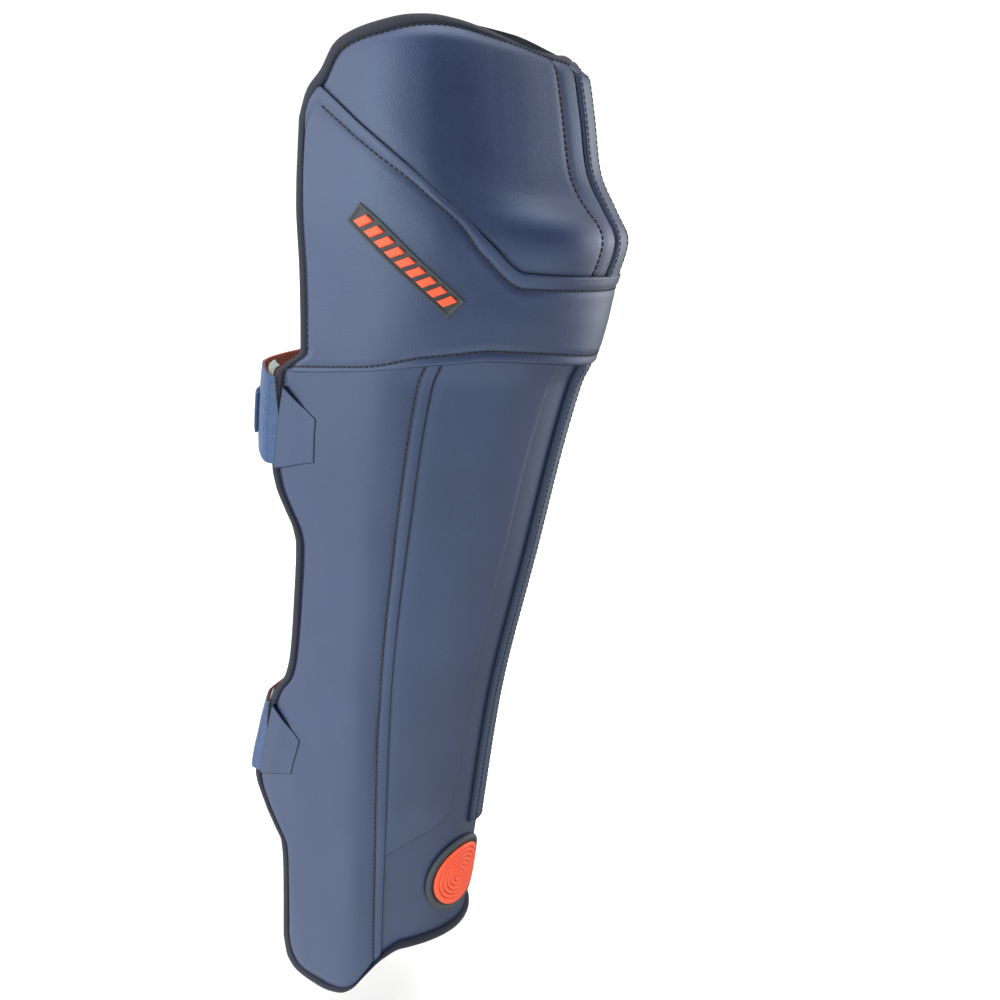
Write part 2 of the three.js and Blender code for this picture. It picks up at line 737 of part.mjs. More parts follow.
// Sewn tabs that cover the straps' ends at the rear edge of each wing. They rise over
// the strap and come down to the wing in front of it.
const strapLift = LAYER_GAP + FACING + BINDING_PROUD + STRAP_SEAT;
const tabFoot = LAYER_GAP + FACING + CLEARANCE;
const tabCrest = strapLift + STRAP_THICKNESS + CLEARANCE;
const tabHeight = (around, z) => {
  const off = (rearAround(z) - Math.abs(around)) * wallStep(z);
  const share = (TAB_RAMP.to - off) / (TAB_RAMP.to - TAB_RAMP.from);
  return mix(tabFoot, tabCrest, Math.min(Math.max(share, 0), 1));
};
for (const strap of STRAPS) {
  const middle = HEIGHT * strap.rise;
  for (const { word, sign } of SIDES) {
    const border = (z) => STRAP_WIDTH * TAB_SHAPE.border + strap.tilt * (z - middle);
    const rear = (z) => rearInset(border(z))(z);
    const front = (z) => {
      const cut = ((z - middle) / STRAP_WIDTH - TAB_SHAPE.corner) / (strap.high - TAB_SHAPE.corner);
      const deep = mix(STRAP_WIDTH * TAB_SHAPE.front, border(z) + 1, Math.min(Math.max(cut, 0), 1));
      return rearInset(deep)(z);
    };
    add(`${strap.tab}_${word}`, panel({
      ...sided(sign, front, rear),
      low: (around, z) => middle + STRAP_WIDTH * TAB_SHAPE.low
        + TAB_SHAPE.foot * (rearAround(z) - Math.abs(around)) * wallStep(z),
      high: () => middle + STRAP_WIDTH * strap.high,
      columns: 5,
      rows: TAB_LEVELS.length - 1,
      levels: TAB_LEVELS,
      top: (around, z) => above(around, z, tabHeight(around, z) + TAB_THICKNESS),
      bottom: (around, z) => above(around, z, tabHeight(around, z)),
    }), 'leather');
  }
}

// A strap's course at one height, from one wing's outer face, over its edge, behind the
// leg, where it lies higher, and back to the other's: t runs from -1 to 1 and depth is measured inwards from the
// strap's outer face.
function strapCourse(strap, z, depth) {
  const rearY = REAR_REACH * glide(REAR_EDGE, 'rise', 'reach', z / HEIGHT);
  const wall = (y) => above(1 + y / wallStep(z), z, strapLift + STRAP_THICKNESS - depth);
  const leave = wall(rearY);
  const up = (z - HEIGHT * strap.rise) / STRAP_WIDTH + 0.5;
  const start = wall(rearY - STRAP_TUCK * (1 - 0.85 * Math.min(Math.max(up, 0), 1)));
  const back = rearY + REAR_REACH * strap.beyond - depth;
  return (t) => {
    const a = Math.abs(t);
    const side = Math.sign(t);
    if (a > TUCK_FROM) {
      const share = (a - TUCK_FROM) / (1 - TUCK_FROM);
      return new THREE.Vector3(side * mix(leave.x, start.x, share), mix(leave.y, start.y, share), z);
    }
    const angle = (a / TUCK_FROM) * Math.PI / 2;
    return new THREE.Vector3(
      side * leave.x * Math.sin(angle) ** STRAP_SQUARE,
      leave.y + (back - leave.y) * Math.cos(angle) ** STRAP_SQUARE,
      z + BACK_RISE * ease((1 - a / TUCK_FROM) / 0.3),
    );
  };
}

// A stretch of strap between two turns, two depths and two heights from its middle.
function strapPiece(strap, { from, to, outer, inner, low, high, steps }) {
  const spot = (depth) => (c, r) => {
    const z = HEIGHT * strap.rise + mix(low, high, r);
    return strapCourse(strap, z, depth)(mix(from, to, c / steps));
  };
  // The course runs against the panels' sense, so the sides change places.
  return slab(steps, 1, spot(inner), spot(outer));
}

const half = STRAP_WIDTH / 2;
for (const strap of STRAPS) {
  add(strap.name, strapPiece(strap, {
    from: -1, to: 1, outer: 0, inner: STRAP_THICKNESS, low: -half, high: half, steps: 28,
  }), 'strap');
  add(`${strap.name}_hook`, strapPiece(strap, {
    ...HOOK_SPAN,
    outer: STRAP_THICKNESS + HOOK_GAP,
    inner: STRAP_THICKNESS + HOOK_GAP + HOOK_THICKNESS,
    low: half - HOOK_HEIGHT,
    high: half + HOOK_RISE,
    steps: 2,
  }), 'hook');
}
// The calf strap's free end lies over its outer face.
add('calf_strap_end', strapPiece(STRAPS[0], {
  ...END_SPAN,
  outer: -CLEARANCE - STRAP_THICKNESS,
  inner: -CLEARANCE,
  low: END_LOW,
  high: END_HIGH,
  steps: 12,
}), 'strap');

export default pad;
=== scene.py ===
"""A navy batting pad, worn on the right leg, dressed for a product picture.

The pad is a foam body bent round the shin and knee. Leather panels are sewn over it,
a soft binding closes its edge, and two webbing straps hold it behind the leg.
Metres, +Z up. The front of the leg faces -Y and its outer side faces -X.
"""

import math

import bpy
import numpy as np
from mathutils import Matrix, Vector


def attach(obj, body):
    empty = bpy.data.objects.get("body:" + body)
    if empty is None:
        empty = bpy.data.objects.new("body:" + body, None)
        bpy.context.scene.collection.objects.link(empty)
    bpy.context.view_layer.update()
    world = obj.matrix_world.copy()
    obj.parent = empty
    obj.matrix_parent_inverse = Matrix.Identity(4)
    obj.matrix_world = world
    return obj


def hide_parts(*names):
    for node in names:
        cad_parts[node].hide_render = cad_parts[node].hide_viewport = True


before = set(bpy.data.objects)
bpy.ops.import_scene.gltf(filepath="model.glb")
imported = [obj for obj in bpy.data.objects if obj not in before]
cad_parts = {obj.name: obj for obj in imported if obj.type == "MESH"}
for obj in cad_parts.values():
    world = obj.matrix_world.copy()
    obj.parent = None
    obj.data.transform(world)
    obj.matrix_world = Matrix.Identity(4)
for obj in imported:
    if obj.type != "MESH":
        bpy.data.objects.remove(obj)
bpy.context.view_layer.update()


# Camera
# A short lens close to the outer side of the knee, looking down a little and turned
# a few degrees, as the picture was taken.
lens_place = Vector((-0.6437, -0.2864, 0.0263))
lens_azimuth = math.radians(-70.44)
lens_rise = math.radians(14.88)
lens_roll = math.radians(5.09)
behind_lens = Vector((
    math.sin(lens_azimuth) * math.cos(lens_rise),
    -math.cos(lens_azimuth) * math.cos(lens_rise),
    math.sin(lens_rise),
))
level = Vector((0, 0, 1)).cross(behind_lens).normalized()
upright = behind_lens.cross(level)
across_picture = math.cos(lens_roll) * level + math.sin(lens_roll) * upright
up_picture = -math.sin(lens_roll) * level + math.cos(lens_roll) * upright
camera_data = bpy.data.cameras.new("camera")
camera_data.lens = 42.83
camera_data.sensor_width = 36
camera = bpy.data.objects.new("camera", camera_data)
camera.matrix_world = Matrix.Translation(lens_place) @ Matrix(
    (across_picture, up_picture, behind_lens)
).transposed().to_4x4()
bpy.context.collection.objects.link(camera)
bpy.context.scene.camera = camera


# Padded body
# The foam body under the leather, one piece from the thigh to the instep. It is moulded
# to the leg, thick in front and thin at the edge, and lined with soft knitted cloth.
PAD_HEIGHT = 0.578
KNEE_HALF_WIDTH = 0.090
KNEE_REACH = 0.112
REAR_REACH = 0.066
FRONT_PADDING = 0.016
WING_PADDING = 0.008
EDGE_PADDING = 0.0045
PADDING_TAPER = 0.026
BODY_INSET = 0.0055
SHELF_SWELL = 0.0035
RIM_LEAN = 0.0035

# Share of the height above the knee, share of the half width, share of the reach, keel.
SECTIONS = (
    (-0.84, 0.67, 0.485, 0.3),
    (-0.77, 0.685, 0.49, 0.3),
    (-0.63, 0.71, 0.524, 0.3),
    (-0.49, 0.766, 0.568, 0.3),
    (-0.32, 0.862, 0.697, 0.27),
    (-0.138, 0.98, 0.85, 0.2),
    (-0.104, 0.99, 0.912, 0.12),
    (-0.035, 1, 0.966, 0.05),
    (0, 1.005, 1, 0.03),
    (0.026, 1, 0.93, 0.03),
    (0.061, 0.99, 0.83, 0.05),
    (0.112, 0.967, 0.769, 0.08),
    (0.156, 0.933, 0.704, 0.08),
    (0.187, 0.89, 0.58, 0.08),
)
# Share of the height, and how far behind the leg's axis the rear edge runs.
REAR_EDGE = (
    (-0.775, 0.62), (-0.683, 0.65), (-0.657, 0.68), (-0.642, 0.76), (-0.62, 0.88),
    (-0.585, 1), (-0.54, 0.925), (-0.481, 0.77), (-0.457, 0.64), (-0.433, 0.59),
    (-0.375, 0.545), (-0.311, 0.515), (-0.294, 0.545), (-0.277, 0.62), (-0.254, 0.71),
    (-0.235, 0.74), (-0.142, 0.68), (-0.131, 0.58), (-0.118, 0.45), (-0.055, 0.47),
    (0.024, 0.53), (0.09, 0.56),
)
# Share of the way from the front to the rear edge, and the edge's share of the height.
RIM = (
    (0, 0.161), (0.12, 0.167), (0.26, 0.175), (0.49, 0.178), (0.6, 0.175), (0.73, 0.166),
    (0.85, 0.155), (0.89, 0.147), (0.93, 0.127), (0.98, 0.109), (1, 0.086),
)
LOWER_EDGE = (
    (0, -0.764), (0.3, -0.766), (0.37, -0.775), (0.46, -0.799), (0.51, -0.813),
    (0.57, -0.82), (0.66, -0.822), (0.79, -0.818), (0.9, -0.811), (0.967, -0.798),
    (1, -0.775),
)
# Place round the leg and push outwards that flatten the knee into a front face and a
# slanting side face, in metres.
KNEE_FACES = (
    (0.07, 0), (0.3, -0.0044), (0.41, -0.0036), (0.52, -0.0018), (0.64, -0.0003),
    (0.77, 0),
)
SIDE_FULLNESS = ((0.5, 0), (0.64, 0.0016), (0.77, 0.0043), (0.9, 0.0052), (1.3, 0))
# Share of the height and strength of the side's fullness there.
FULLNESS_DOWN = ((-0.3, 0), (-0.09, 0.5), (0.02, 1))


def glide(rows, at):
    """Smooth curve through (place, value) rows: cubic pieces whose slope at each row is
    the harmonic mean of the slopes beside it, or level where they turn, so that the
    curve never overshoots a row. Before the first row and past the last it stays level."""
    place, value = np.array(rows, float).T
    at = np.clip(np.asarray(at, float), place[0], place[-1])
    slope = np.diff(value) / np.diff(place)
    product = slope[:-1] * slope[1:]
    total = slope[:-1] + slope[1:]
    middle = np.where(product > 0, 2 * product / np.where(total == 0, 1, total), 0)
    bend = np.concatenate([slope[:1], middle, slope[-1:]])
    i = np.clip(np.searchsorted(place, at, side="right") - 1, 0, len(place) - 2)
    span = place[i + 1] - place[i]
    t = (at - place[i]) / span
    return (
        (2 * t**3 - 3 * t**2 + 1) * value[i]
        + (t**3 - 2 * t**2 + t) * span * bend[i]
        + (3 * t**2 - 2 * t**3) * value[i + 1]
        + (t**3 - t**2) * span * bend[i + 1]
    )


def ease(t):
    """0 below 0, 1 above 1 and a smooth step between."""
    s = np.clip(t, 0, 1)
    return s * s * (3 - 2 * s)


def section(z, column):
    """One column of the section table at a height."""
    return glide([(row[0], row[column]) for row in SECTIONS], z / PAD_HEIGHT)


def wall_step(z):
    """Length of the side wall for one step of around behind the leg's axis."""
    return KNEE_REACH * section(z, 2) * (1 - section(z, 3)) * math.pi / 2


def rear_around(z, inset=0.0):
    """Place of the rear edge round the leg, set in from the edge by a width."""
    reach = REAR_REACH * glide(REAR_EDGE, z / PAD_HEIGHT)
    return 1 + (reach - inset) / wall_step(z)


def leg_form(around, z):
    """The outer form. around runs from 0 at the front to 1 at the side: half an ellipse
    drawn in beside the nose by the keel. Past 1 the wall runs straight back."""
    around, z = np.broadcast_arrays(np.asarray(around, float), np.asarray(z, float))
    a = np.abs(around)
    turn = np.minimum(a, 1) * math.pi / 2
    behind = np.maximum(a - 1, 0)
    side = KNEE_HALF_WIDTH * section(z, 1) * np.sin(turn) * (1 - 0.12 * behind**2)
    front = KNEE_REACH * section(z, 2) * np.cos(turn)
    back = -front * (1 - section(z, 3) * np.sin(turn) ** 2) + behind * wall_step(z)
    return np.stack([np.sign(around) * side, back, z], axis=-1)


def outward(around, z):
    """Unit direction out of the form: across the leg crossed with up the leg."""
    across = leg_form(around + 0.002, z) - leg_form(around - 0.002, z)
    up = leg_form(around, z + 0.0005) - leg_form(around, z - 0.0005)
    away = np.cross(across, up)
    return away / np.linalg.norm(away, axis=-1, keepdims=True)


def relief(around, z):
    """Push along the outward direction: the knee's flattened faces, the fullness of its
    sides, a swell on the kneecap's shoulder that starts as a shelf, and the lean of the
    last centimetre under the rim."""
    a = np.abs(around)
    share = z / PAD_HEIGHT
    faces = glide(KNEE_FACES, a) * ease(share / 0.04)
    fullness = glide(SIDE_FULLNESS, a) * glide(FULLNESS_DOWN, share)
    bulge = np.exp(-(((a - 0.33) / 0.2) ** 2) - (np.minimum(share, 0) / 0.04) ** 2)
    shelf = SHELF_SWELL * bulge * ease((0.045 - share) / 0.032)
    bent = np.maximum(1 - (rim_edge(around, z) - z) / 0.012, 0)
    lean = -RIM_LEAN * bent * bent / (bent + 0.12) * ease((1.1 - a) / 0.4)
    return faces + fullness + shelf + lean


def above(around, z, height):
    """Points at a height above the form and its relief."""
    lift = (height + relief(around, z))[..., None]
    return leg_form(around, z) + outward(around, z) * lift


def rim_edge(around, z, inset=0.0):
    """Height of the top rim over a place round the leg, set in by a width."""
    share = np.minimum(np.abs(around) / rear_around(z, inset), 1)
    return PAD_HEIGHT * glide(RIM, share) - inset


def lower_edge(around, z, inset=0.0):
    """Height of the lower edge under a place round the leg, set in by a width."""
    share = np.minimum(np.abs(around) / rear_around(z, inset), 1)
    return PAD_HEIGHT * glide(LOWER_EDGE, share) + inset


def padding(around, z):
    """Thickness of the foam: full in front, thin on the wings and thinner at the edge."""
    a = np.abs(around)
    rear = (rear_around(z) - a) * wall_step(z)
    to_edge = np.minimum(rear, np.minimum(rim_edge(around, z) - z, z - lower_edge(around, z)))
    full = WING_PADDING + (FRONT_PADDING - WING_PADDING) * ease((0.8 - a) / 0.5)
    return EDGE_PADDING + (full - EDGE_PADDING) * ease(to_edge / PADDING_TAPER)


def within(around, z, depth):
    """Points inside the foam's inner face by a depth."""
    return leg_form(around, z) - outward(around, z) * (padding(around, z) + depth)[..., None]


def stations(length, pitch):
    """Shares of a length, close together near both ends where an edge is rolled over,
    and a pitch apart between."""
    ends = np.array([0, 0.12, 0.35, 0.7, 1.2, 1.8, 2.6, 3.6, 4.8, 6.2, 8]) / 1000
    ends = ends[ends < length / 2 - pitch / 3]
    count = max(int(round((length - 2 * ends[-1]) / pitch)), 1)
    middle = np.linspace(ends[-1], length - ends[-1], count + 1)[1:-1]
    return np.concatenate([ends, middle, length - ends[::-1]]) / length


def patch(near, far, low, high, columns, rows):
    """Grid between two upright edges, near and far, and two lying edges, low and high.
    Each column finds where it meets the lying edges, then runs between them."""
    u, v = columns[None, :], rows[:, None]
    ends = []
    for lying, start in ((low, -PAD_HEIGHT / 2), (high, 0.0)):
        z = np.full(columns.shape, start)
        for _ in range(12):
            z = lying(near(z) * (1 - columns) + far(z) * columns, z)
        ends.append(z)
    z = ends[0][None, :] * (1 - v) + ends[1][None, :] * v
    return near(z) * (1 - u) + far(z) * u, z


def reaches(points):
    """Distance of each grid point from the four edges, measured along the grid."""
    across = np.linalg.norm(np.diff(points, axis=1), axis=-1)
    along = np.linalg.norm(np.diff(points, axis=0), axis=-1)
    near = np.concatenate([np.zeros((len(points), 1)), np.cumsum(across, axis=1)], axis=1)
    low = np.concatenate([np.zeros((1, points.shape[1])), np.cumsum(along, axis=0)])
    return near, near[:, -1:] - near, low, low[-1:] - low


def grid_faces(rows, columns, start=0):
    """Four-sided faces of a grid of points, numbered row by row."""
    r, c = np.meshgrid(np.arange(rows - 1), np.arange(columns - 1), indexing="ij")
    first = start + (r * columns + c).ravel()
    return np.stack([first, first + 1, first + columns + 1, first + columns], axis=1)


def closed_grid(outer, inner):
    """Points and faces of a slab: the outer grid, the inner grid turned over, and a
    strip that joins their borders all the way round."""
    rows, columns = outer.shape[:2]
    count = rows * columns
    number = np.arange(count).reshape(rows, columns)
    border = np.concatenate([
        number[0, :-1], number[:-1, -1], number[-1, :0:-1], number[:0:-1, 0]
    ])
    ahead = np.roll(border, -1)
    wall = np.stack([border, border + count, ahead + count, ahead], axis=1)
    faces = np.concatenate([
        grid_faces(rows, columns),
        grid_faces(rows, columns, count)[:, ::-1],
        wall,
    ])
    return np.concatenate([outer.reshape(-1, 3), inner.reshape(-1, 3)]), faces


def piece(name, points, faces, materials, slots=None, uv=None):
    """A smooth-shaded mesh piece at the origin, with its materials. slots gives each
    face's material and uv each point's place on the material's own map."""
    mesh = bpy.data.meshes.new(name)
    mesh.from_pydata(points.tolist(), [], faces.tolist())
    mesh.polygons.foreach_set("use_smooth", np.ones(len(mesh.polygons), bool))
    for material in materials:
        mesh.materials.append(material)
    if slots is not None:
        mesh.polygons.foreach_set("material_index", np.asarray(slots, np.int32))
    if uv is not None:
        corners = np.empty(len(mesh.loops), np.int32)
        mesh.loops.foreach_get("vertex_index", corners)
        mesh.uv_layers.new(name="run").data.foreach_set("uv", uv[corners].ravel())
    mesh.validate()
    mesh.update()
    made = bpy.data.objects.new(name, mesh)
    bpy.context.collection.objects.link(made)
    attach(made, "root")
    return made


def effect(name, inputs, outputs):
    """An empty shader group with named number inputs and outputs."""
    group = bpy.data.node_groups.new(name, "ShaderNodeTree")
    for label, start in inputs:
        socket = group.interface.new_socket(label, in_out="INPUT", socket_type="NodeSocketFloat")
        socket.default_value = start
    for label in outputs:
        group.interface.new_socket(label, in_out="OUTPUT", socket_type="NodeSocketFloat")
    return group, group.nodes.new("NodeGroupInput"), group.nodes.new("NodeGroupOutput")


def math_node(nodes, links, operation, *values):
    """A Math node fed by sockets or plain numbers."""
    node = nodes.new("ShaderNodeMath")
    node.operation = operation
    for slot, value in zip(node.inputs, values):
        if isinstance(value, (int, float)):
            slot.default_value = value
        else:
            links.new(value, slot)
    return node.outputs[0]


def noise_node(nodes, links, scale, detail, rough=0.55):
    """Noise on object coordinates."""
    place = nodes.new("ShaderNodeTexCoord")
    noise = nodes.new("ShaderNodeTexNoise")
    noise.inputs["Scale"].default_value = scale
    noise.inputs["Detail"].default_value = detail
    noise.inputs["Roughness"].default_value = rough
    links.new(place.outputs["Object"], noise.inputs["Vector"])
    return noise.outputs["Fac"]


def blank_material(name):
    """A new material, its nodes and links, and its shader."""
    made = bpy.data.materials.new(name)
    made.use_nodes = True
    tree = made.node_tree
    return made, tree.nodes, tree.links, tree.nodes["Principled BSDF"]


def two_tones(nodes, links, shader, tone, dark, light, dark_at, light_at):
    """Base colour that runs from dark to light as the tone climbs."""
    ramp = nodes.new("ShaderNodeValToRGB")
    for element, place, colour in zip(
        ramp.color_ramp.elements, (dark_at, light_at), (dark, light)
    ):
        element.position = place
        element.color = (*colour, 1)
    links.new(tone, ramp.inputs["Fac"])
    links.new(ramp.outputs["Color"], shader.inputs["Base Color"])
    return ramp


def bumped(nodes, links, shader, height, strength, distance):
    """A bump from a height on the shader's normal."""
    bump = nodes.new("ShaderNodeBump")
    bump.inputs["Strength"].default_value = strength
    bump.inputs["Distance"].default_value = distance
    links.new(height, bump.inputs["Height"])
    links.new(bump.outputs["Normal"], shader.inputs["Normal"])


# The leather's grain: small cells between fine creases, over a slower waviness.
grain, grain_in, grain_out = effect(
    "leather grain", [("Cells", 1500.0), ("Depth", 1.0)], ["Height", "Tone"]
)
nodes, links = grain.nodes, grain.links
spot = nodes.new("ShaderNodeTexCoord")
cells = nodes.new("ShaderNodeTexVoronoi")
cells.feature = "F1"
links.new(spot.outputs["Object"], cells.inputs["Vector"])
links.new(grain_in.outputs["Cells"], cells.inputs["Scale"])
fine = noise_node(nodes, links, 2600, 3)
waves = noise_node(nodes, links, 260, 4)
pores = math_node(nodes, links, "MULTIPLY_ADD", fine, 0.6, cells.outputs["Distance"])
height = math_node(nodes, links, "MULTIPLY_ADD", waves, 0.5, pores)
links.new(
    math_node(nodes, links, "MULTIPLY", height, grain_in.outputs["Depth"]),
    grain_out.inputs["Height"],
)
links.new(math_node(nodes, links, "MULTIPLY_ADD", waves, 0.5, fine), grain_out.inputs["Tone"])


def leather(name, dark, light, rough, depth=0.00012):
    """Coated leather: a dark ground under a strong, soft, bluish gloss, with the grain in its bump
    and a slight change of tone and gloss with it. A point attribute paints shade on it: near
    black colour and dimmed gloss in seams, stitch dips and tucked edges."""
    made, nodes, links, shader = blank_material(name)
    shader.inputs["Specular Tint"].default_value = (0.63, 0.79, 1, 1)
    hide = nodes.new("ShaderNodeGroup")
    hide.node_tree = grain
    hide.inputs["Cells"].default_value = 1500
    hide.inputs["Depth"].default_value = 1
    blotch = noise_node(nodes, links, 14, 3)
    tone = math_node(nodes, links, "MULTIPLY_ADD", hide.outputs["Tone"], 0.5, blotch)
    ramp = two_tones(nodes, links, shader, tone, dark, light, 0.65, 1.0)
    links.new(
        math_node(nodes, links, "MULTIPLY_ADD", hide.outputs["Tone"], 0.12, rough - 0.08),
        shader.inputs["Roughness"],
    )
    bumped(nodes, links, shader, hide.outputs["Height"], 0.6, depth)
    # Painted shade: the point attribute mixes the colour towards near black and lowers the
    # specular level in seams, stitch dips and edges under other panels.
    painted_shade = nodes.new("ShaderNodeAttribute")
    painted_shade.attribute_name = "painted_shade"
    shade_mix = nodes.new("ShaderNodeMix")
    shade_mix.data_type = "RGBA"
    links.new(painted_shade.outputs["Fac"], shade_mix.inputs[0])
    links.new(ramp.outputs["Color"], shade_mix.inputs[6])
    shade_mix.inputs[7].default_value = (0.002, 0.003, 0.008, 1)
    links.new(shade_mix.outputs[2], shader.inputs["Base Color"])
    links.new(
        math_node(nodes, links, "MULTIPLY_ADD", painted_shade.outputs["Fac"], -0.9, 1.0),
        shader.inputs["Specular IOR Level"],
    )
    return made


navy_leather = leather("navy leather", (0.007, 0.013, 0.046), (0.011, 0.019, 0.064), 0.37)


def cloth(name, dark, light, threads, depth, rough=0.85, sheen=0.3):
    """Knitted or woven cloth: rows of threads crossing on object coordinates."""
    made, nodes, links, shader = blank_material(name)
    shader.inputs["Sheen Weight"].default_value = sheen
    spot = nodes.new("ShaderNodeTexCoord")
    split = nodes.new("ShaderNodeSeparateXYZ")
    links.new(spot.outputs["Object"], split.inputs[0])
    around_leg = math_node(nodes, links, "ADD", split.outputs["X"], split.outputs["Y"])
    ribs = math_node(
        nodes, links, "SINE", math_node(nodes, links, "MULTIPLY", around_leg, threads)
    )
    rows = math_node(
        nodes, links, "SINE", math_node(nodes, links, "MULTIPLY", split.outputs["Z"], threads)
    )
    weave = math_node(nodes, links, "MULTIPLY", ribs, rows)
    fuzz = noise_node(nodes, links, 900, 3)
    tone = math_node(nodes, links, "MULTIPLY_ADD", weave, 0.2, fuzz)
    two_tones(nodes, links, shader, tone, dark, light, 0.25, 0.8)
    shader.inputs["Roughness"].default_value = rough
    bumped(nodes, links, shader, tone, 0.7, depth)
    return made


lining_cloth = cloth("lining cloth", (0.012, 0.016, 0.03), (0.03, 0.038, 0.065), 2600, 0.0002)
body_columns = stations(0.36, 0.0022)
body_rows = stations(0.55, 0.0028)
body_around, body_z = patch(
    lambda z: -rear_around(z, BODY_INSET),
    lambda z: rear_around(z, BODY_INSET),
    lambda around, z: lower_edge(around, z, BODY_INSET),
    lambda around, z: rim_edge(around, z, BODY_INSET),
    body_columns,
    body_rows,
)
body_outer = above(body_around, body_z, np.zeros_like(body_z))
body_inner = within(body_around, body_z, 0.0)
body_points, body_faces = closed_grid(body_outer, body_inner)
outer_count = (len(body_rows) - 1) * (len(body_columns) - 1)
body_slots = np.zeros(len(body_faces))
body_slots[outer_count:2 * outer_count] = 1
padded_body = piece(
    "padded_body", body_points, body_faces, [navy_leather, lining_cloth], body_slots
)
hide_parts("padded_shell")


# Edge binding
# A folded strip of soft dark cloth that wraps the pad's edge once round and is sewn
# through all the layers. It is fuller than the leather beside it.
BINDING_WIDTH = 0.0050
BINDING_PROUD = 0.0031


def outline(inset, steps, uprights):
    """The pad's outline set in by a width, as places round the leg and heights: along
    the lower edge, up one rear edge, back along the rim and down the other."""
    def lying(edge, shares, start):
        z = np.full(shares.shape, start)
        for _ in range(12):
            z = edge(shares * rear_around(z, inset), z, inset)
        return shares * rear_around(z, inset), z

    shares = np.linspace(-1, 1, steps)
    low_around, low_z = lying(lower_edge, shares, -PAD_HEIGHT / 2)
    high_around, high_z = lying(rim_edge, shares[::-1], 0.0)
    rise = low_z[-1] + (high_z[0] - low_z[-1]) * np.linspace(0, 1, uprights)[1:-1]
    return (
        np.concatenate([low_around, rear_around(rise, inset), high_around,
                        -rear_around(rise[::-1], inset)]),
        np.concatenate([low_z, rise, high_z, rise[::-1]]),
    )


def ring_faces(stations_count, size):
    """Faces of a closed tube: rings of a size, joined one after another and round."""
    s, k = np.meshgrid(np.arange(stations_count), np.arange(size), indexing="ij")
    ahead, beside = (s + 1) % stations_count, (k + 1) % size
    corners = (s * size + k, s * size + beside, ahead * size + beside, ahead * size + k)
    return np.stack([corner.ravel() for corner in corners], axis=1)


# Inset, and height on the outer face or depth on the inner one, round the binding.
BINDING_SECTION = (
    (1.0, 0.55), (0.94, 0.86), (0.78, 1.0), (0.5, 1.0), (0.25, 0.88), (0.08, 0.62), (0.0, 0.2),
)
binding_rings = []
for inset, swell in BINDING_SECTION:
    around, z = outline(inset * BINDING_WIDTH, 260, 420)
    full = np.where(z > 0, 0.5 + 0.5 * ease((np.abs(around) - 0.25) / 0.25), 1)
    binding_rings.append(above(around, z, swell * BINDING_PROUD * full))
for inset, swell in reversed(BINDING_SECTION):
    around, z = outline(inset * BINDING_WIDTH, 260, 420)
    binding_rings.append(within(around, z, (swell - 0.75) * 0.0024 + np.zeros(around.shape)))
binding_points = np.stack(binding_rings, axis=1)
binding_cloth = cloth(
    "binding cloth", (0.003, 0.005, 0.013), (0.009, 0.014, 0.03), 3200, 0.0001, 0.8, 0.05
)
edge_binding = piece(
    "edge_roll",
    binding_points.reshape(-1, 3),
    ring_faces(*binding_points.shape[:2]),
    [binding_cloth],
)
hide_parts("edge_binding")


# Wings
# Each side is one panel of coated leather over thin foam. Its front edge is folded under
# and laid over the shin panel, and its other edges end in the binding.
LEATHER_HEIGHT = 0.0027
LEATHER_INSET = 0.0045
TUCKED_UNDER = 0.006
WING_ROW = 0.0085
WING_SEAM = ((-0.84, 0.6), (-0.63, 0.656), (-0.385, 0.687), (-0.22, 0.667), (-0.11, 0.654))
BAND_HEM = ((0, -0.117), (0.5, -0.111), (0.65, -0.116), (1, -0.131), (1.5, -0.146))


def roll(distance, radius):
    """Height of a folded edge in shares: a quarter round from the edge to its radius."""
    return np.sqrt(1 - (1 - np.clip(distance / radius, 0, 1)) ** 2)


def seam_dip(distance, place, spread=0.0022):
    """Bell-shaped dip where a row of stitches pulls the leather down."""
    return np.exp(-(((distance - place) / spread) ** 2))


def unevenness(around, z):
    """Slow waviness of leather over foam: three crossed waves, in shares."""
    first = np.sin(around * 9.1 + z * 31) * np.sin(z * 47 + 1.3)
    second = np.sin(around * 17.3 - z * 58 + 0.7)
    third = np.sin(around * 5.2 + z * 103 + 2.1)
    return (first + 0.5 * second + 0.4 * third) / 1.9


def sewn_panel(name, grid, height, painted_shade, under=0.0, sign=1):
    """A leather panel: an outer sheet at a height over the form and an inner one. The grid after
    the heights gives each outer point's painted shade, from 0 to 1, in seams and tucked edges."""
    around, z = grid
    if sign < 0:
        around, z = -around[:, ::-1], z[:, ::-1]
        height, painted_shade = height[:, ::-1], painted_shade[:, ::-1]
    outer = above(around, z, height)
    inner = above(around, z, np.full(around.shape, under))
    points, faces = closed_grid(outer, inner)
    made = piece(name, points, faces, [navy_leather])
    # Painted shade stored on the points: each outer point's share, and full shade on the inner
    # sheet.
    dark = np.concatenate([painted_shade.ravel(), np.ones(painted_shade.size)])
    made.data.attributes.new("painted_shade", "FLOAT", "POINT").data.foreach_set("value", dark)
    return made


def sewn_pair(name, node, grid, height, painted_shade, under=0.0):
    """A leather panel on each side of the leg, outer and inner, and what they stand for."""
    for word, sign in (("outer", -1), ("inner", 1)):
        panel = sewn_panel(f"{name}_{word}", grid, height, painted_shade, under, sign)
        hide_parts(f"{node}_{word}")


def wing_seam(z):
    """Place of the wing's front edge round the leg."""
    return glide(WING_SEAM, z / PAD_HEIGHT)


def band_hem(around):
    """Height of the band's lower edge."""
    return PAD_HEIGHT * glide(BAND_HEM, np.abs(around))


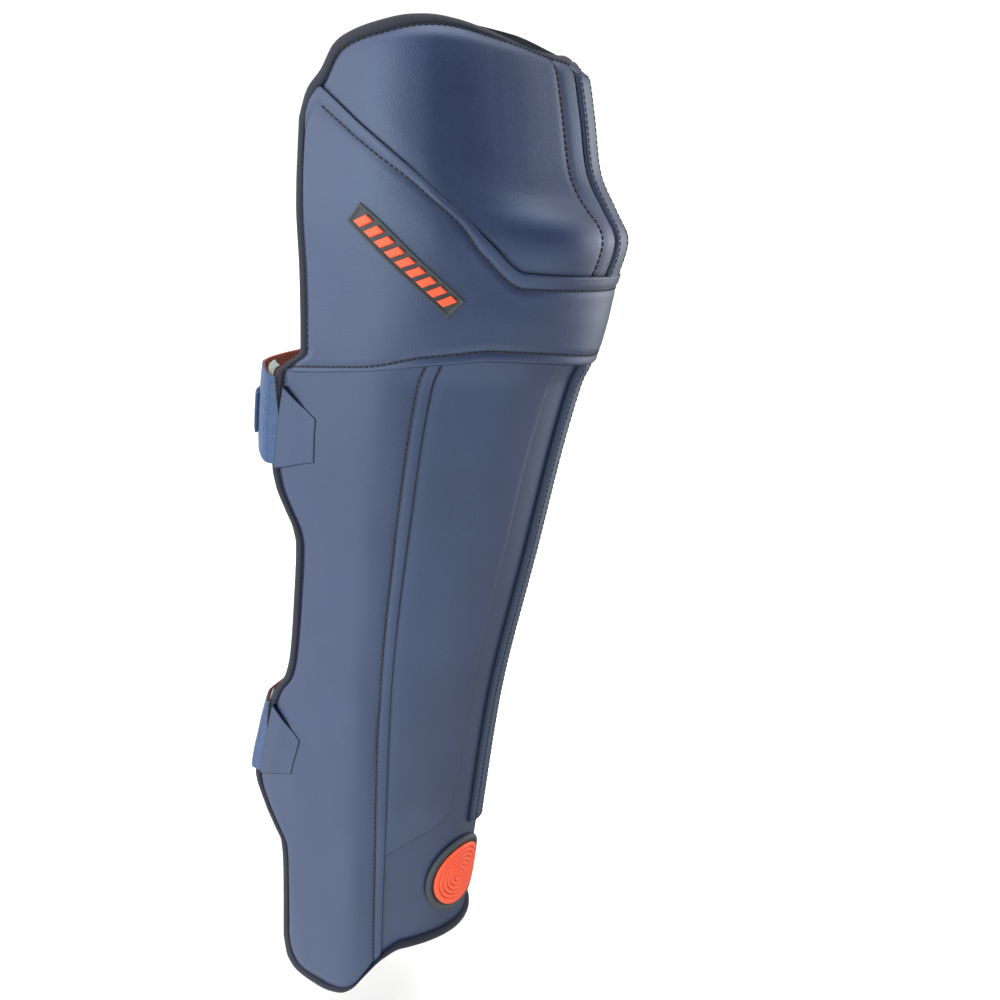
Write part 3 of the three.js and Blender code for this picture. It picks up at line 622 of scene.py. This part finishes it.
wing_grid = patch(
    wing_seam,
    lambda z: rear_around(z, LEATHER_INSET),
    lambda around, z: lower_edge(around, z, LEATHER_INSET),
    lambda around, z: band_hem(around) + TUCKED_UNDER,
    stations(0.1, 0.0022),
    stations(0.4, 0.003),
)
wing_near, wing_far, wing_low, _ = reaches(leg_form(*wing_grid))
wing_height = LEATHER_HEIGHT * roll(wing_near, 0.0022)
wing_height -= 0.0007 * seam_dip(wing_near, WING_ROW)
wing_height += 0.0006 * ease((wing_near - 0.009) / 0.02) * ease(wing_far / 0.02)
wing_height -= 0.0012 * (1 - ease(wing_far / 0.006))
wing_height -= 0.0012 * (1 - ease(wing_low / 0.006))
wing_height += 0.0004 * unevenness(*wing_grid)
# Painted shade along the folded front edge, in the stitch row's dip and at the rear and lower
# edges by the binding.
wing_shade = 0.5 * seam_dip(wing_near, WING_ROW, 0.0009) + 0.5 * seam_dip(wing_near, 0, 0.0008)
wing_shade += 0.6 * seam_dip(np.minimum(wing_far, wing_low), 0, 0.0012)
sewn_pair("wing_leather", "wing", wing_grid, wing_height, wing_shade)


# Shin panels
# A moulded panel on each face of the shin. Its front and foot edges are pressed down in
# a soft step, and its rear edge runs under the wing.
SHIN_PANEL_FRONT = ((-0.64, 0.27), (-0.55, 0.235), (-0.32, 0.221), (-0.11, 0.192))
SHIN_PANEL_FOOT = ((0.2, -0.606), (0.27, -0.61), (0.34, -0.62), (0.49, -0.633), (0.7, -0.652))
SHIN_HEIGHT = 0.0019


def shin_panel_front(z):
    """Place of the shin panel's front edge round the leg."""
    return glide(SHIN_PANEL_FRONT, z / PAD_HEIGHT)


shin_grid = patch(
    shin_panel_front,
    lambda z: wing_seam(z) + 0.004 / wall_step(z),
    lambda around, z: PAD_HEIGHT * glide(SHIN_PANEL_FOOT, around),
    lambda around, z: band_hem(around) + TUCKED_UNDER,
    stations(0.06, 0.0022),
    stations(0.3, 0.003),
)
shin_near, shin_far, shin_low, _ = reaches(leg_form(*shin_grid))
shin_height = SHIN_HEIGHT * roll(np.minimum(shin_near, shin_low), 0.0032)
shin_height += 0.0009 * ease(shin_near / 0.03) * ease(shin_far / 0.02) * ease(shin_low / 0.03)
shin_height -= 0.0006 * (1 - ease((shin_far - 0.003) / 0.008))
shin_height += 0.0003 * unevenness(*shin_grid)
# Painted shade where the rear edge runs under the wing, and a little along the pressed front and
# foot edges.
shin_shade = ease(1 - (shin_far - 0.004) / 0.0016)
shin_shade += 0.35 * seam_dip(np.minimum(shin_near, shin_low), 0, 0.0008)
sewn_pair("shin_leather", "shin_panel", shin_grid, shin_height, shin_shade)


# Knee panels
# The moulded cup over the knee, one panel each side of the centre strip. It swells over
# the kneecap, slants back in a flat face beside it and leans in under the rim.
KNEE_STRIP_WIDTH = 0.020
KNEE_SEAM = (
    (0, -0.028), (0.45, -0.028), (0.6, -0.003), (0.7, 0.023), (0.85, 0.059), (1.05, 0.093),
    (1.2, 0.114), (1.4, 0.14),
)
KNEE_HEIGHT = 0.0024
KNEE_ROW = 0.0145


def beside(width, z):
    """Place round the leg half a width from the middle."""
    return np.arcsin(width / 2 / (KNEE_HALF_WIDTH * section(z, 1))) / (math.pi / 2)


def knee_seam(around):
    """Height of the seam where the band is laid over the knee panels."""
    return PAD_HEIGHT * glide(KNEE_SEAM, np.abs(around))


knee_grid = patch(
    lambda z: beside(KNEE_STRIP_WIDTH, z) + 0.0002 / wall_step(z),
    lambda z: np.minimum(rear_around(z, LEATHER_INSET), 1.2),
    lambda around, z: knee_seam(around) - TUCKED_UNDER,
    lambda around, z: rim_edge(around, z, LEATHER_INSET),
    stations(0.14, 0.0018),
    stations(0.11, 0.0018),
)
knee_near, _, knee_low, knee_high = reaches(leg_form(*knee_grid))
knee_height = KNEE_HEIGHT * roll(knee_near, 0.0024)
knee_height -= 0.0007 * seam_dip(knee_near, KNEE_ROW)
knee_height += 0.0005 * ease((knee_near - 0.014) / 0.02) * ease(knee_low / 0.02)
knee_height -= 0.0009 * (1 - ease(knee_high / 0.007))
knee_height += 0.0003 * unevenness(*knee_grid)
# Painted shade on the edge tucked under the band, along the rim, in the stitch row's dip and at
# the edge beside the strip.
knee_shade = ease(1 - (knee_low - 0.006) / 0.0014) + 0.6 * seam_dip(knee_high, 0, 0.0012)
knee_shade += 0.5 * seam_dip(knee_near, KNEE_ROW, 0.0009) + 0.8 * seam_dip(knee_near, 0, 0.0012)
sewn_pair("knee_leather", "knee_panel", knee_grid, knee_height, knee_shade)


# Knee band
# One piece that crosses under the kneecap and widens into the two sides. Its folded top
# edge is sewn over the knee panels and its hem over the wings and shin panels.
BAND_HEIGHT = 0.0042
BAND_TOP_ROW = 0.0088
BAND_HEM_ROW = 0.0065


def band_top(around, z):
    """The seam, or the rim where the seam has run out of the pad."""
    return np.minimum(knee_seam(around), rim_edge(around, z, LEATHER_INSET))


band_grid = patch(
    lambda z: -rear_around(z, LEATHER_INSET),
    lambda z: rear_around(z, LEATHER_INSET),
    lambda around, z: band_hem(around),
    band_top,
    stations(0.34, 0.002),
    stations(0.09, 0.0018),
)
band_near, band_far, band_low, band_high = reaches(leg_form(*band_grid))
band_rear = np.minimum(band_near, band_far)
band_height = BAND_HEIGHT * np.minimum(roll(band_low, 0.0022), roll(band_high, 0.0014))
band_height -= 0.0008 * (seam_dip(band_high, BAND_TOP_ROW) + seam_dip(band_low, BAND_HEM_ROW))
band_height += 0.0005 * ease((band_low - 0.01) / 0.02) * ease((band_high - 0.01) / 0.02)
band_height -= 0.0022 * (1 - ease(band_rear / 0.008))
band_height += 0.0004 * unevenness(*band_grid)
# Painted shade in both stitch rows' dips, along the folded top edge and hem, and at the rear ends.
band_shade = 0.5 * seam_dip(band_high, BAND_TOP_ROW, 0.0009)
band_shade += 0.5 * seam_dip(band_low, BAND_HEM_ROW, 0.0009)
band_shade += 0.5 * seam_dip(np.minimum(band_low, band_high), 0, 0.0006)
band_shade += 0.6 * seam_dip(band_rear, 0, 0.0012)
knee_band = sewn_panel("band_leather", band_grid, band_height, band_shade)
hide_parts("knee_band")


# Centre strips
# A raised leather strip down the middle of the knee and another down the shin, each
# between two grooves. The shin's one ends square above the instep.
SHIN_STRIP_WIDTH = 0.015
STRIP_FOOT = -0.632
STRIP_HEIGHT = 0.0041
STRIP_ROW = 0.0028


def centre_strip(name, width, low, high, length, node):
    """A strip over the front with both long edges rolled and a stitch dip beside them."""
    grid = patch(
        lambda z: -beside(width, z),
        lambda z: beside(width, z),
        low,
        high,
        stations(width, 0.0012),
        stations(length, 0.002),
    )
    near, far, low_reach, high_reach = reaches(leg_form(*grid))
    side = np.minimum(near, far)
    height = STRIP_HEIGHT * roll(np.minimum(side, low_reach), 0.0021)
    height -= 0.0005 * seam_dip(side, STRIP_ROW, 0.0012)
    height -= 0.0024 * (1 - ease(high_reach / 0.007))
    # Painted shade in the stitch dips and along the rolled long edges.
    painted_shade = 0.5 * seam_dip(side, STRIP_ROW, 0.0007) + 0.7 * seam_dip(side, 0, 0.0007)
    strip = sewn_panel(name, grid, height, painted_shade)
    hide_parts(node)
    return grid, height


knee_strip_grid, knee_strip_height = centre_strip(
    "knee_strip_leather", KNEE_STRIP_WIDTH,
    lambda around, z: knee_seam(around) - TUCKED_UNDER,
    lambda around, z: rim_edge(around, z, LEATHER_INSET),
    0.105, "knee_strip",
)
shin_strip_grid, shin_strip_height = centre_strip(
    "shin_strip_leather", SHIN_STRIP_WIDTH,
    lambda around, z: np.full(np.shape(z), PAD_HEIGHT * STRIP_FOOT),
    lambda around, z: band_hem(around) + TUCKED_UNDER,
    0.3, "shin_strip",
)


# Stitching
# Rows of dark waxed thread, each stitch a short rounded bar lying in the dip that it
# pulls, all of one length.
STITCH_LENGTH = 0.0027
STITCH_PITCH = 0.0032
STITCH_RADIUS = 0.00045
EDGE_ROW = 0.0008


def line_beside(grid, height, reach, distance):
    """The line on a panel at a distance from one edge, and the direction out of the
    panel along it: on each grid row, between the two points that the distance lies
    between. Rows too short to reach the distance are left out."""
    around, z = grid
    sheet = np.concatenate([above(around, z, height), outward(around, z)], axis=-1)
    if reach[0, 0] > reach[0, -1]:
        sheet, reach = sheet[:, ::-1], reach[:, ::-1]
    kept = reach[:, -1] > distance
    sheet, reach = sheet[kept], reach[kept]
    row = np.arange(len(reach))
    ahead = np.maximum(np.argmax(reach >= distance, axis=1), 1)
    before, after = reach[row, ahead - 1], reach[row, ahead]
    share = ((distance - before) / (after - before))[:, None]
    line = sheet[row, ahead - 1] * (1 - share) + sheet[row, ahead] * share
    return line[:, :3], line[:, 3:]


def turned(grid, height, reach):
    """The same grid with rows and columns exchanged, for a line along a lying edge."""
    return (grid[0].T, grid[1].T), height.T, reach.T


def mirrored(rows):
    """Rows of stitches and their twins on the other side of the leg."""
    flip = np.array([-1.0, 1.0, 1.0])
    return rows + [(line * flip, away * flip) for line, away in rows]


thread = cloth("dark thread", (0.001, 0.0015, 0.004), (0.003, 0.005, 0.012), 9000, 0.00005, 0.6, 0)


def stitching(name, rows, trim=0.002):
    """One piece from many lines of stitches. Spots lie a pitch apart along each line,
    and on each a six-sided bar of five rings is laid, thinner at its two ends."""
    turn = np.arange(6) * math.pi / 3
    shares = np.array([-0.5, -0.42, 0, 0.42, 0.5])
    widths = np.array([0.25, 0.85, 1, 0.85, 0.25]) * STITCH_RADIUS
    ring, k = np.meshgrid(np.arange(4), np.arange(6), indexing="ij")
    beside_k = (k + 1) % 6
    one = np.stack([
        (ring * 6 + k).ravel(), (ring * 6 + beside_k).ravel(),
        (ring * 6 + 6 + beside_k).ravel(), (ring * 6 + 6 + k).ravel(),
    ], axis=1)
    caps = np.array([[0, 5, 4, 3], [0, 3, 2, 1], [24, 25, 26, 27], [24, 27, 28, 29]])
    one = np.concatenate([one, caps])
    points, faces, start = [], [], 0
    for line, away in rows:
        run = np.concatenate([[0], np.cumsum(np.linalg.norm(np.diff(line, axis=0), axis=1))])
        at = np.arange(trim, run[-1] - trim, STITCH_PITCH)
        both = np.concatenate([line, away], axis=1)
        spot = np.stack([np.interp(at, run, both[:, i]) for i in range(6)], axis=1)
        ahead = np.stack([np.interp(at + 0.0006, run, line[:, i]) for i in range(3)], axis=1)
        along = ahead - spot[:, :3]
        along /= np.linalg.norm(along, axis=1, keepdims=True)
        up = spot[:, 3:] / np.linalg.norm(spot[:, 3:], axis=1, keepdims=True)
        side = np.cross(up, along)
        circle = (
            np.cos(turn)[None, None, :, None] * side[:, None, None, :]
            + np.sin(turn)[None, None, :, None] * up[:, None, None, :]
        )
        spine = spot[:, None, :3] + along[:, None, :] * (shares * STITCH_LENGTH)[None, :, None]
        sink = (0.35 - 0.9 * (np.abs(shares) > 0.45)) * STITCH_RADIUS
        spine = spine + up[:, None, :] * sink[None, :, None]
        bars = spine[:, :, None, :] + circle * widths[None, :, None, None]
        points.append(bars.reshape(-1, 3))
        faces.append((one[None] + start + 30 * np.arange(len(at))[:, None, None]).reshape(-1, 4))
        start += 30 * len(at)
    made = piece(name, np.concatenate(points), np.concatenate(faces), [thread])
    return made


top_around, top_z = band_grid[0][-1], band_grid[1][-1]
seamed = knee_seam(top_around) <= rim_edge(top_around, top_z, LEATHER_INSET) + 1e-5
seamed_grid = band_grid[0][:, seamed], band_grid[1][:, seamed]
stitching("band_stitching", [
    line_beside(*turned(seamed_grid, band_height[:, seamed], band_high[:, seamed]), BAND_TOP_ROW),
    line_beside(*turned(band_grid, band_height, band_low), BAND_HEM_ROW),
    line_beside(band_grid, band_height, band_near, EDGE_ROW),
    line_beside(band_grid, band_height, band_far, EDGE_ROW),
], 0.003)
strip_reach = reaches(leg_form(*knee_strip_grid))
stitching("knee_stitching", mirrored([
    line_beside(knee_grid, knee_height, knee_near, KNEE_ROW),
    line_beside(*turned(knee_grid, knee_height, knee_high), 0.0009),
]) + [
    line_beside(knee_strip_grid, knee_strip_height, strip_reach[0], STRIP_ROW),
    line_beside(knee_strip_grid, knee_strip_height, strip_reach[1], STRIP_ROW),
], 0.004)
stitching("wing_stitching", mirrored([
    line_beside(wing_grid, wing_height, wing_near, WING_ROW),
    line_beside(wing_grid, wing_height, wing_far, EDGE_ROW),
]), 0.006)
strip_reach = reaches(leg_form(*shin_strip_grid))
stitching("strip_stitching", [
    line_beside(shin_strip_grid, shin_strip_height, strip_reach[0], STRIP_ROW),
    line_beside(shin_strip_grid, shin_strip_height, strip_reach[1], STRIP_ROW),
    line_beside(*turned(shin_strip_grid, shin_strip_height, strip_reach[2]), STRIP_ROW),
], 0.0025)


# Disc badge
# A round moulded rubber badge on the instep: a grey dish with a raised lip, and on it an
# orange boss cut by rings.
DISC_RADIUS = 0.0255
DISC_PLACE = (-0.125, -0.69)


def on_form(place, turn, x, y):
    """Places on the form of a flat pattern's points: x runs round the leg and y up it,
    turned by an angle, walked out from the pattern's middle in eight steps."""
    z = PAD_HEIGHT * place[1] + x * math.sin(turn) + y * math.cos(turn)
    run = x * math.cos(turn) - y * math.sin(turn)
    around = np.full(np.shape(z), place[0])
    for _ in range(8):
        ahead = leg_form(around + 0.002, z) - leg_form(around - 0.002, z)
        around = around + run / 8 / (np.linalg.norm(ahead, axis=-1) / 0.004)
    return around, z


def turned_badge(name, place, profile, material, spokes=96):
    """A round badge: a profile of radius and height, carried round the middle and laid
    on the form. The profile starts and ends on the axis."""
    radius, height = np.array(profile, float).T
    angle = np.arange(spokes) * 2 * math.pi / spokes
    x, y = radius[:, None] * np.cos(angle), radius[:, None] * np.sin(angle)
    around, z = on_form(place, 0.0, x, y)
    points = above(around, z, np.broadcast_to(height[:, None], z.shape))
    r, s = np.meshgrid(np.arange(len(radius) - 1), np.arange(spokes), indexing="ij")
    ahead = (s + 1) % spokes
    faces = np.stack(
        [n.ravel() for n in (
            r * spokes + s, (r + 1) * spokes + s, (r + 1) * spokes + ahead, r * spokes + ahead
        )],
        axis=1,
    )
    made = piece(name, points.reshape(-1, 3), faces, [material])
    return made


def rubber(name, colour, rough, bump_depth=0.00004):
    """Moulded rubber: one colour with a faint mottle and a fine matte skin."""
    made, nodes, links, shader = blank_material(name)
    mottle = noise_node(nodes, links, 420, 4)
    two_tones(nodes, links, shader, mottle, [c * 0.85 for c in colour], colour, 0.3, 0.7)
    links.new(
        math_node(nodes, links, "MULTIPLY_ADD", mottle, 0.15, rough - 0.07),
        shader.inputs["Roughness"],
    )
    bumped(nodes, links, shader, noise_node(nodes, links, 2400, 3), 0.4, bump_depth)
    return made


grey_rubber = rubber("grey rubber", (0.03, 0.042, 0.05), 0.55)
orange_rubber = rubber("orange rubber", (0.92, 0.1, 0.03), 0.5)
# Radius in shares of the badge's, and height: the dish's floor, its lip and its back.
DISH_PROFILE = (
    (0.0004, 0.0017), (0.83, 0.0017), (0.855, 0.0019), (0.87, 0.0026), (0.895, 0.003),
    (0.933, 0.0031), (0.967, 0.0029), (0.989, 0.0023), (1, 0.0012), (1, 0.0003),
    (0.963, -0.0002), (0.0004, -0.0002),
)
dish = turned_badge(
    "disc_dish", DISC_PLACE,
    [(share * DISC_RADIUS, rise) for share, rise in DISH_PROFILE],
    grey_rubber,
)
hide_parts("badge_disc")


def ringed_profile(radius, base, crest, rings):
    """A boss cut by rings: from the middle out, rounded crests with grooves between."""
    profile = [(0.00001, crest)]
    pitch = radius / rings
    for ring in range(rings):
        start = ring * pitch
        profile += [
            (start + 0.62 * pitch, crest), (start + 0.74 * pitch, crest - 0.0002),
            (start + 0.8 * pitch, base + 0.0001), (start + 0.93 * pitch, base + 0.0001),
            (start + 0.99 * pitch, crest - 0.0002), (start + 1.08 * pitch, crest),
        ]
    profile = profile[:-4] + [(radius, crest - 0.0003), (radius, base), (0.00001, base)]
    return profile


boss = turned_badge(
    "disc_relief", DISC_PLACE, ringed_profile(0.0204, 0.0016, 0.0036, 7),
    orange_rubber,
)
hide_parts("badge_disc_relief")


# Bar badge
# A slanted moulded bar on the outer side of the band: a grey frame with a raised lip and
# a row of slanted orange ribs inside it.
BAR_LENGTH = 0.069
BAR_WIDTH = 0.012
BAR_PLACE = (-0.825, -0.027)
BAR_SLOPE = -0.68
BAR_FLOOR = 0.0046
RIB_COUNT = 9
RIB_HALF_WIDTH = 0.0023
RIB_HALF_HEIGHT = 0.0034


def bar_slab(name, x_range, y_range, low, crest, lean, corner, material, lip=None):
    """A slab on the bar's pattern with rounded upper edges. A lip raises its border."""
    x0, x1 = x_range
    y0, y1 = y_range
    u = stations(x1 - x0, 0.0016)
    v = stations(y1 - y0, 0.0012)
    x, y = np.meshgrid(x0 + (x1 - x0) * u, y0 + (y1 - y0) * v)
    inset_x = np.minimum(x - x0, x1 - x)
    inset_y = np.minimum(y - y0, y1 - y)
    edge = np.minimum(inset_x, inset_y)
    height = low + (crest - low) * roll(edge, corner)
    if lip:
        height = height - lip * ease((edge - 0.0013) / 0.0005)
    around, z = on_form(BAR_PLACE, BAR_SLOPE, x + lean * y, y)
    outer = above(around, z, height)
    inner = above(around, z, np.full(z.shape, low - 0.0003))
    points, faces = closed_grid(outer, inner)
    made = piece(name, points, faces, [material])
    return made


bar_frame = bar_slab(
    "bar_frame", (-BAR_LENGTH / 2, BAR_LENGTH / 2), (-BAR_WIDTH / 2, BAR_WIDTH / 2),
    BAR_FLOOR - 0.0005, BAR_FLOOR + 0.0019, 0.0, 0.0007, grey_rubber, 0.001,
)
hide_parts("badge_bar")
for rib in range(RIB_COUNT):
    middle = ((rib + 0.5) / RIB_COUNT - 0.5) * (BAR_LENGTH - BAR_WIDTH / 2)
    raised = bar_slab(
        f"bar_rib_{rib + 1}", (middle - RIB_HALF_WIDTH, middle + RIB_HALF_WIDTH),
        (-RIB_HALF_HEIGHT, RIB_HALF_HEIGHT),
        BAR_FLOOR + 0.0006, BAR_FLOOR + 0.0026, 0.45, 0.0006, orange_rubber,
    )
    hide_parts(f"badge_bar_rib_{rib + 1}")


# Strap tabs
# Small leather patches sewn on the rear edge of each wing, over the straps' ends. The
# upper corner is cut on a slant and the lower edge climbs forwards.
STRAP_WIDTH = 0.050
TAB_FRONT = 0.0293
TAB_CORNER = 0.0055
TAB_SINK = 0.0012
# Name, middle's share of the height, rear border, its tilt, and the tab's top.
STRAPS = (("calf", -0.189, 0.0053, 0.07, 0.0205), ("ankle", -0.537, 0.0053, -0.045, 0.024))
for strap_name, rise, border, tilt, top in STRAPS:
    middle = PAD_HEIGHT * rise

    def tab_rear(z, middle=middle, border=border, tilt=tilt):
        """The tab's rear edge, set in from the wing's by a slightly tilted border."""
        return rear_around(z, border + tilt * (z - middle))

    def tab_front(z, middle=middle, border=border, tilt=tilt, top=top):
        """The tab's front edge: upright, then a straight slant back to the rear edge."""
        cut = np.clip((z - middle - TAB_CORNER) / (top - TAB_CORNER), 0, 1)
        narrow = border + tilt * (z - middle) + 0.0008
        return rear_around(z, TAB_FRONT * (1 - cut) + narrow * cut)

    def tab_foot(around, z, middle=middle):
        """The tab's lower edge, which climbs away from the wing's rear edge."""
        return middle - 0.028 + 0.3 * (rear_around(z) - around) * wall_step(z)

    tab_grid = patch(
        tab_front,
        tab_rear,
        tab_foot,
        lambda around, z, middle=middle, top=top: np.full(np.shape(z), middle + top),
        stations(0.024, 0.0011),
        stations(0.045, 0.0011),
    )
    near, far, low_reach, high_reach = reaches(leg_form(*tab_grid))
    edge = np.minimum(np.minimum(near * 0.8, far), np.minimum(low_reach, high_reach))
    to_rear = (rear_around(tab_grid[1]) - tab_grid[0]) * wall_step(tab_grid[1])
    tab_floor = LEATHER_HEIGHT + 0.0012 * (1 - ease((to_rear - 0.013) / 0.01))
    tab_height = tab_floor + 0.0002 + 0.0009 * roll(edge, 0.0008)
    tab_height += 0.0003 * unevenness(*tab_grid)
    # Painted shade round the tab's outline.
    tab_shade = 0.9 * seam_dip(edge, 0.0001, 0.0006)
    sewn_pair(
        f"{strap_name}_tab_leather", f"{strap_name}_tab", tab_grid, tab_height, tab_shade,
        under=LEATHER_HEIGHT - TAB_SINK,
    )


# Straps
# Two loops of wide elastic webbing, blue outside and orange inside. Each end lies under
# its tab, and the loop turns over the wing's edge and round behind the leg. The calf's
# free end is folded back over its own loop, and pale hook tape lines each one's end.
STRAP_THICKNESS = 0.0016
STRAP_LIFT = 0.0030
STRAP_TUCK = 0.012
STRAP_SQUARE = 0.8
TUCK_FROM = 0.84
STRAP_BEYOND = {"calf": 0.022, "ankle": 0.0046}
BACK_RISE = 0.006


def strap_course(strap_name, t, z, depth, up):
    """The strap's course at a height: t from -1 to 1 runs over one wing's edge, round a
    squared arc behind the leg, where it lies higher, and over the other's. depth is
    inwards from its outer face, and up is the share of the strap's width below."""
    rear = REAR_REACH * glide(REAR_EDGE, z / PAD_HEIGHT)
    height = STRAP_LIFT + STRAP_THICKNESS - depth
    leave = above(1 + rear / wall_step(z), z, height)
    tuck = STRAP_TUCK * (1 - 0.9 * np.clip(up, 0, 1))
    start = above(1 + (rear - tuck) / wall_step(z), z, height)
    back = rear + STRAP_BEYOND[strap_name] - depth
    a = np.abs(t)
    tucked = np.clip((a - TUCK_FROM) / (1 - TUCK_FROM), 0, 1)
    angle = np.minimum(a / TUCK_FROM, 1) * math.pi / 2
    swing_x = leave[..., 0] * np.sin(angle) ** STRAP_SQUARE
    swing_y = leave[..., 1] + (back - leave[..., 1]) * np.cos(angle) ** STRAP_SQUARE
    in_tuck = a > TUCK_FROM
    x = np.where(in_tuck, leave[..., 0] + (start[..., 0] - leave[..., 0]) * tucked, swing_x)
    y = np.where(in_tuck, leave[..., 1] + (start[..., 1] - leave[..., 1]) * tucked, swing_y)
    return np.stack([np.sign(t) * x, y, z + BACK_RISE * ease((1 - a / TUCK_FROM) / 0.3)], axis=-1)


def webbing(name, dark, light):
    """Elastic webbing: ribs across its width on its own map, and a fine weave."""
    made, nodes, links, shader = blank_material(name)
    shader.inputs["Roughness"].default_value = 0.85
    shader.inputs["Sheen Weight"].default_value = 0.25
    run = nodes.new("ShaderNodeUVMap")
    run.uv_map = "run"
    split = nodes.new("ShaderNodeSeparateXYZ")
    links.new(run.outputs["UV"], split.inputs[0])
    ribs = math_node(
        nodes, links, "SINE", math_node(nodes, links, "MULTIPLY", split.outputs["X"], 5200)
    )
    cords = math_node(
        nodes, links, "SINE", math_node(nodes, links, "MULTIPLY", split.outputs["Y"], 4200)
    )
    weave = math_node(nodes, links, "MULTIPLY_ADD", cords, 0.6, ribs)
    fuzz = noise_node(nodes, links, 700, 3)
    tone = math_node(nodes, links, "MULTIPLY_ADD", weave, 0.16, fuzz)
    two_tones(nodes, links, shader, tone, dark, light, 0.25, 0.8)
    bumped(nodes, links, shader, weave, 0.6, 0.0003)
    return made


blue_webbing = webbing("blue webbing", (0.015, 0.05, 0.135), (0.03, 0.085, 0.21))
dark_webbing = webbing("dark blue webbing", (0.014, 0.045, 0.12), (0.028, 0.08, 0.2))
orange_webbing = webbing("orange webbing", (0.75, 0.09, 0.03), (0.95, 0.18, 0.07))
hook_tape = webbing("pale hook tape", (0.13, 0.17, 0.15), (0.28, 0.33, 0.3))


def strap_piece(name, strap_name, span, low, high, out, thickness, materials):
    """A stretch of strap between two places on its course and two heights, standing out
    from the loop by a distance, with its long edges rounded."""
    run = np.linspace(span[0], span[1], 260)
    heights = low + (high - low) * stations(high - low, 0.003)
    t, z = np.meshgrid(run, heights)
    edge = np.minimum(z - low, high - z)
    half = thickness / 2 * (0.35 + 0.65 * roll(edge, thickness * 0.7))
    middle = thickness / 2 - out
    up = (z - low) / (high - low)
    outer = strap_course(strap_name, t, z, middle - half, up)
    inner = strap_course(strap_name, t, z, middle + half, up)
    points, faces = closed_grid(inner, outer)
    count = (len(heights) - 1) * (len(run) - 1)
    slots = np.zeros(len(faces))
    slots[:count] = len(materials) - 1
    length = np.concatenate([[0], np.cumsum(np.linalg.norm(np.diff(outer[0], axis=0), axis=1))])
    uv = np.stack([np.broadcast_to(length, z.shape), z - low], axis=-1).reshape(-1, 2)
    made = piece(name, points, faces, materials, slots, np.concatenate([uv, uv]))
    return made


for strap_name, rise, *_ in STRAPS:
    middle = PAD_HEIGHT * rise
    loop = strap_piece(
        f"{strap_name}_strap_webbing", strap_name, (-1, 1), middle - STRAP_WIDTH / 2,
        middle + STRAP_WIDTH / 2, 0.0, STRAP_THICKNESS, [blue_webbing, orange_webbing],
    )
    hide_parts(f"{strap_name}_strap")
    hook = strap_piece(
        f"{strap_name}_hook_tape", strap_name, (-0.82, -0.73), middle + 0.011, middle + 0.031,
        -STRAP_THICKNESS - 0.0010, 0.0016, [hook_tape],
    )
    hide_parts(f"{strap_name}_strap_hook")
pull_middle = PAD_HEIGHT * STRAPS[0][1]
pull = strap_piece(
    "calf_strap_pull", "calf", (-0.66, -0.12), pull_middle - 0.014, pull_middle + 0.009,
    STRAP_THICKNESS + 0.0008, 0.0022, [dark_webbing],
)
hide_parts("calf_strap_end")


# Light
# A white room: windows along the leg's outer side and behind it,
# one before its inner side, lamps overhead and pale light from the ground. The part of
# the room before the shin is dark.
studio = bpy.data.worlds.new("studio")
bpy.context.scene.world = studio
studio.use_nodes = True
nodes, links = studio.node_tree.nodes, studio.node_tree.links
toward = nodes.new("ShaderNodeTexCoord")
glow = 0.02
# Degrees from straight ahead of the shin towards the outer side, degrees up, sharpness
# and strength of each bright patch.
for azimuth, rise, sharp, strength in (
    (-50, 5, 11, 3.5), (-20, 5, 18, 1), (100, 5, 11, 3.5), (130, 5, 11, 1.5), (165, 5, 11, 2),
    (150, 45, 6, 1.5), (0, 88, 6, 4), (20, -45, 6, 1.5), (90, -45, 6, 1.5), (160, -45, 6, 1.5),
):
    azimuth, rise = math.radians(azimuth), math.radians(rise)
    facing = nodes.new("ShaderNodeVectorMath")
    facing.operation = "DOT_PRODUCT"
    facing.inputs[1].default_value = (
        -math.sin(azimuth) * math.cos(rise), -math.cos(azimuth) * math.cos(rise), math.sin(rise)
    )
    links.new(toward.outputs["Generated"], facing.inputs[0])
    falloff = math_node(nodes, links, "MULTIPLY_ADD", facing.outputs["Value"], sharp, -sharp)
    patch_light = math_node(nodes, links, "EXPONENT", falloff)
    glow = math_node(nodes, links, "MULTIPLY_ADD", patch_light, strength, glow)
seen = nodes.new("ShaderNodeLightPath")
brightness = nodes.new("ShaderNodeMix")
links.new(seen.outputs["Is Camera Ray"], brightness.inputs["Factor"])
links.new(glow, brightness.inputs["A"])
brightness.inputs["B"].default_value = 1.1
links.new(brightness.outputs["Result"], nodes["Background"].inputs["Strength"])
nodes["Background"].inputs["Color"].default_value = (1, 1, 1, 1)
bpy.context.scene.view_settings.view_transform = "Standard"


# Floor
# A plain pale studio floor below the raised leg. Its light on the pad is the pale light
# from the ground, so the plane itself is only seen.
FLOOR_HALF = 30
FLOOR_LEVEL = -0.52
floor_mesh = bpy.data.meshes.new("floor")
floor_corners = ((-1, -1), (1, -1), (1, 1), (-1, 1))
floor_mesh.from_pydata(
    [(FLOOR_HALF * x, FLOOR_HALF * y, FLOOR_LEVEL) for x, y in floor_corners],
    [],
    [(0, 1, 2, 3)],
)
floor = bpy.data.objects.new("floor", floor_mesh)
bpy.context.scene.collection.objects.link(floor)
for ray in ("diffuse", "glossy", "transmission", "shadow"):
    setattr(floor, f"visible_{ray}", False)
floor_paint, _, _, floor_skin = blank_material("pale floor")
floor_skin.inputs["Base Color"].default_value = (0.92, 0.92, 0.91, 1)
floor_skin.inputs["Roughness"].default_value = 0.9
floor_mesh.materials.append(floor_paint)
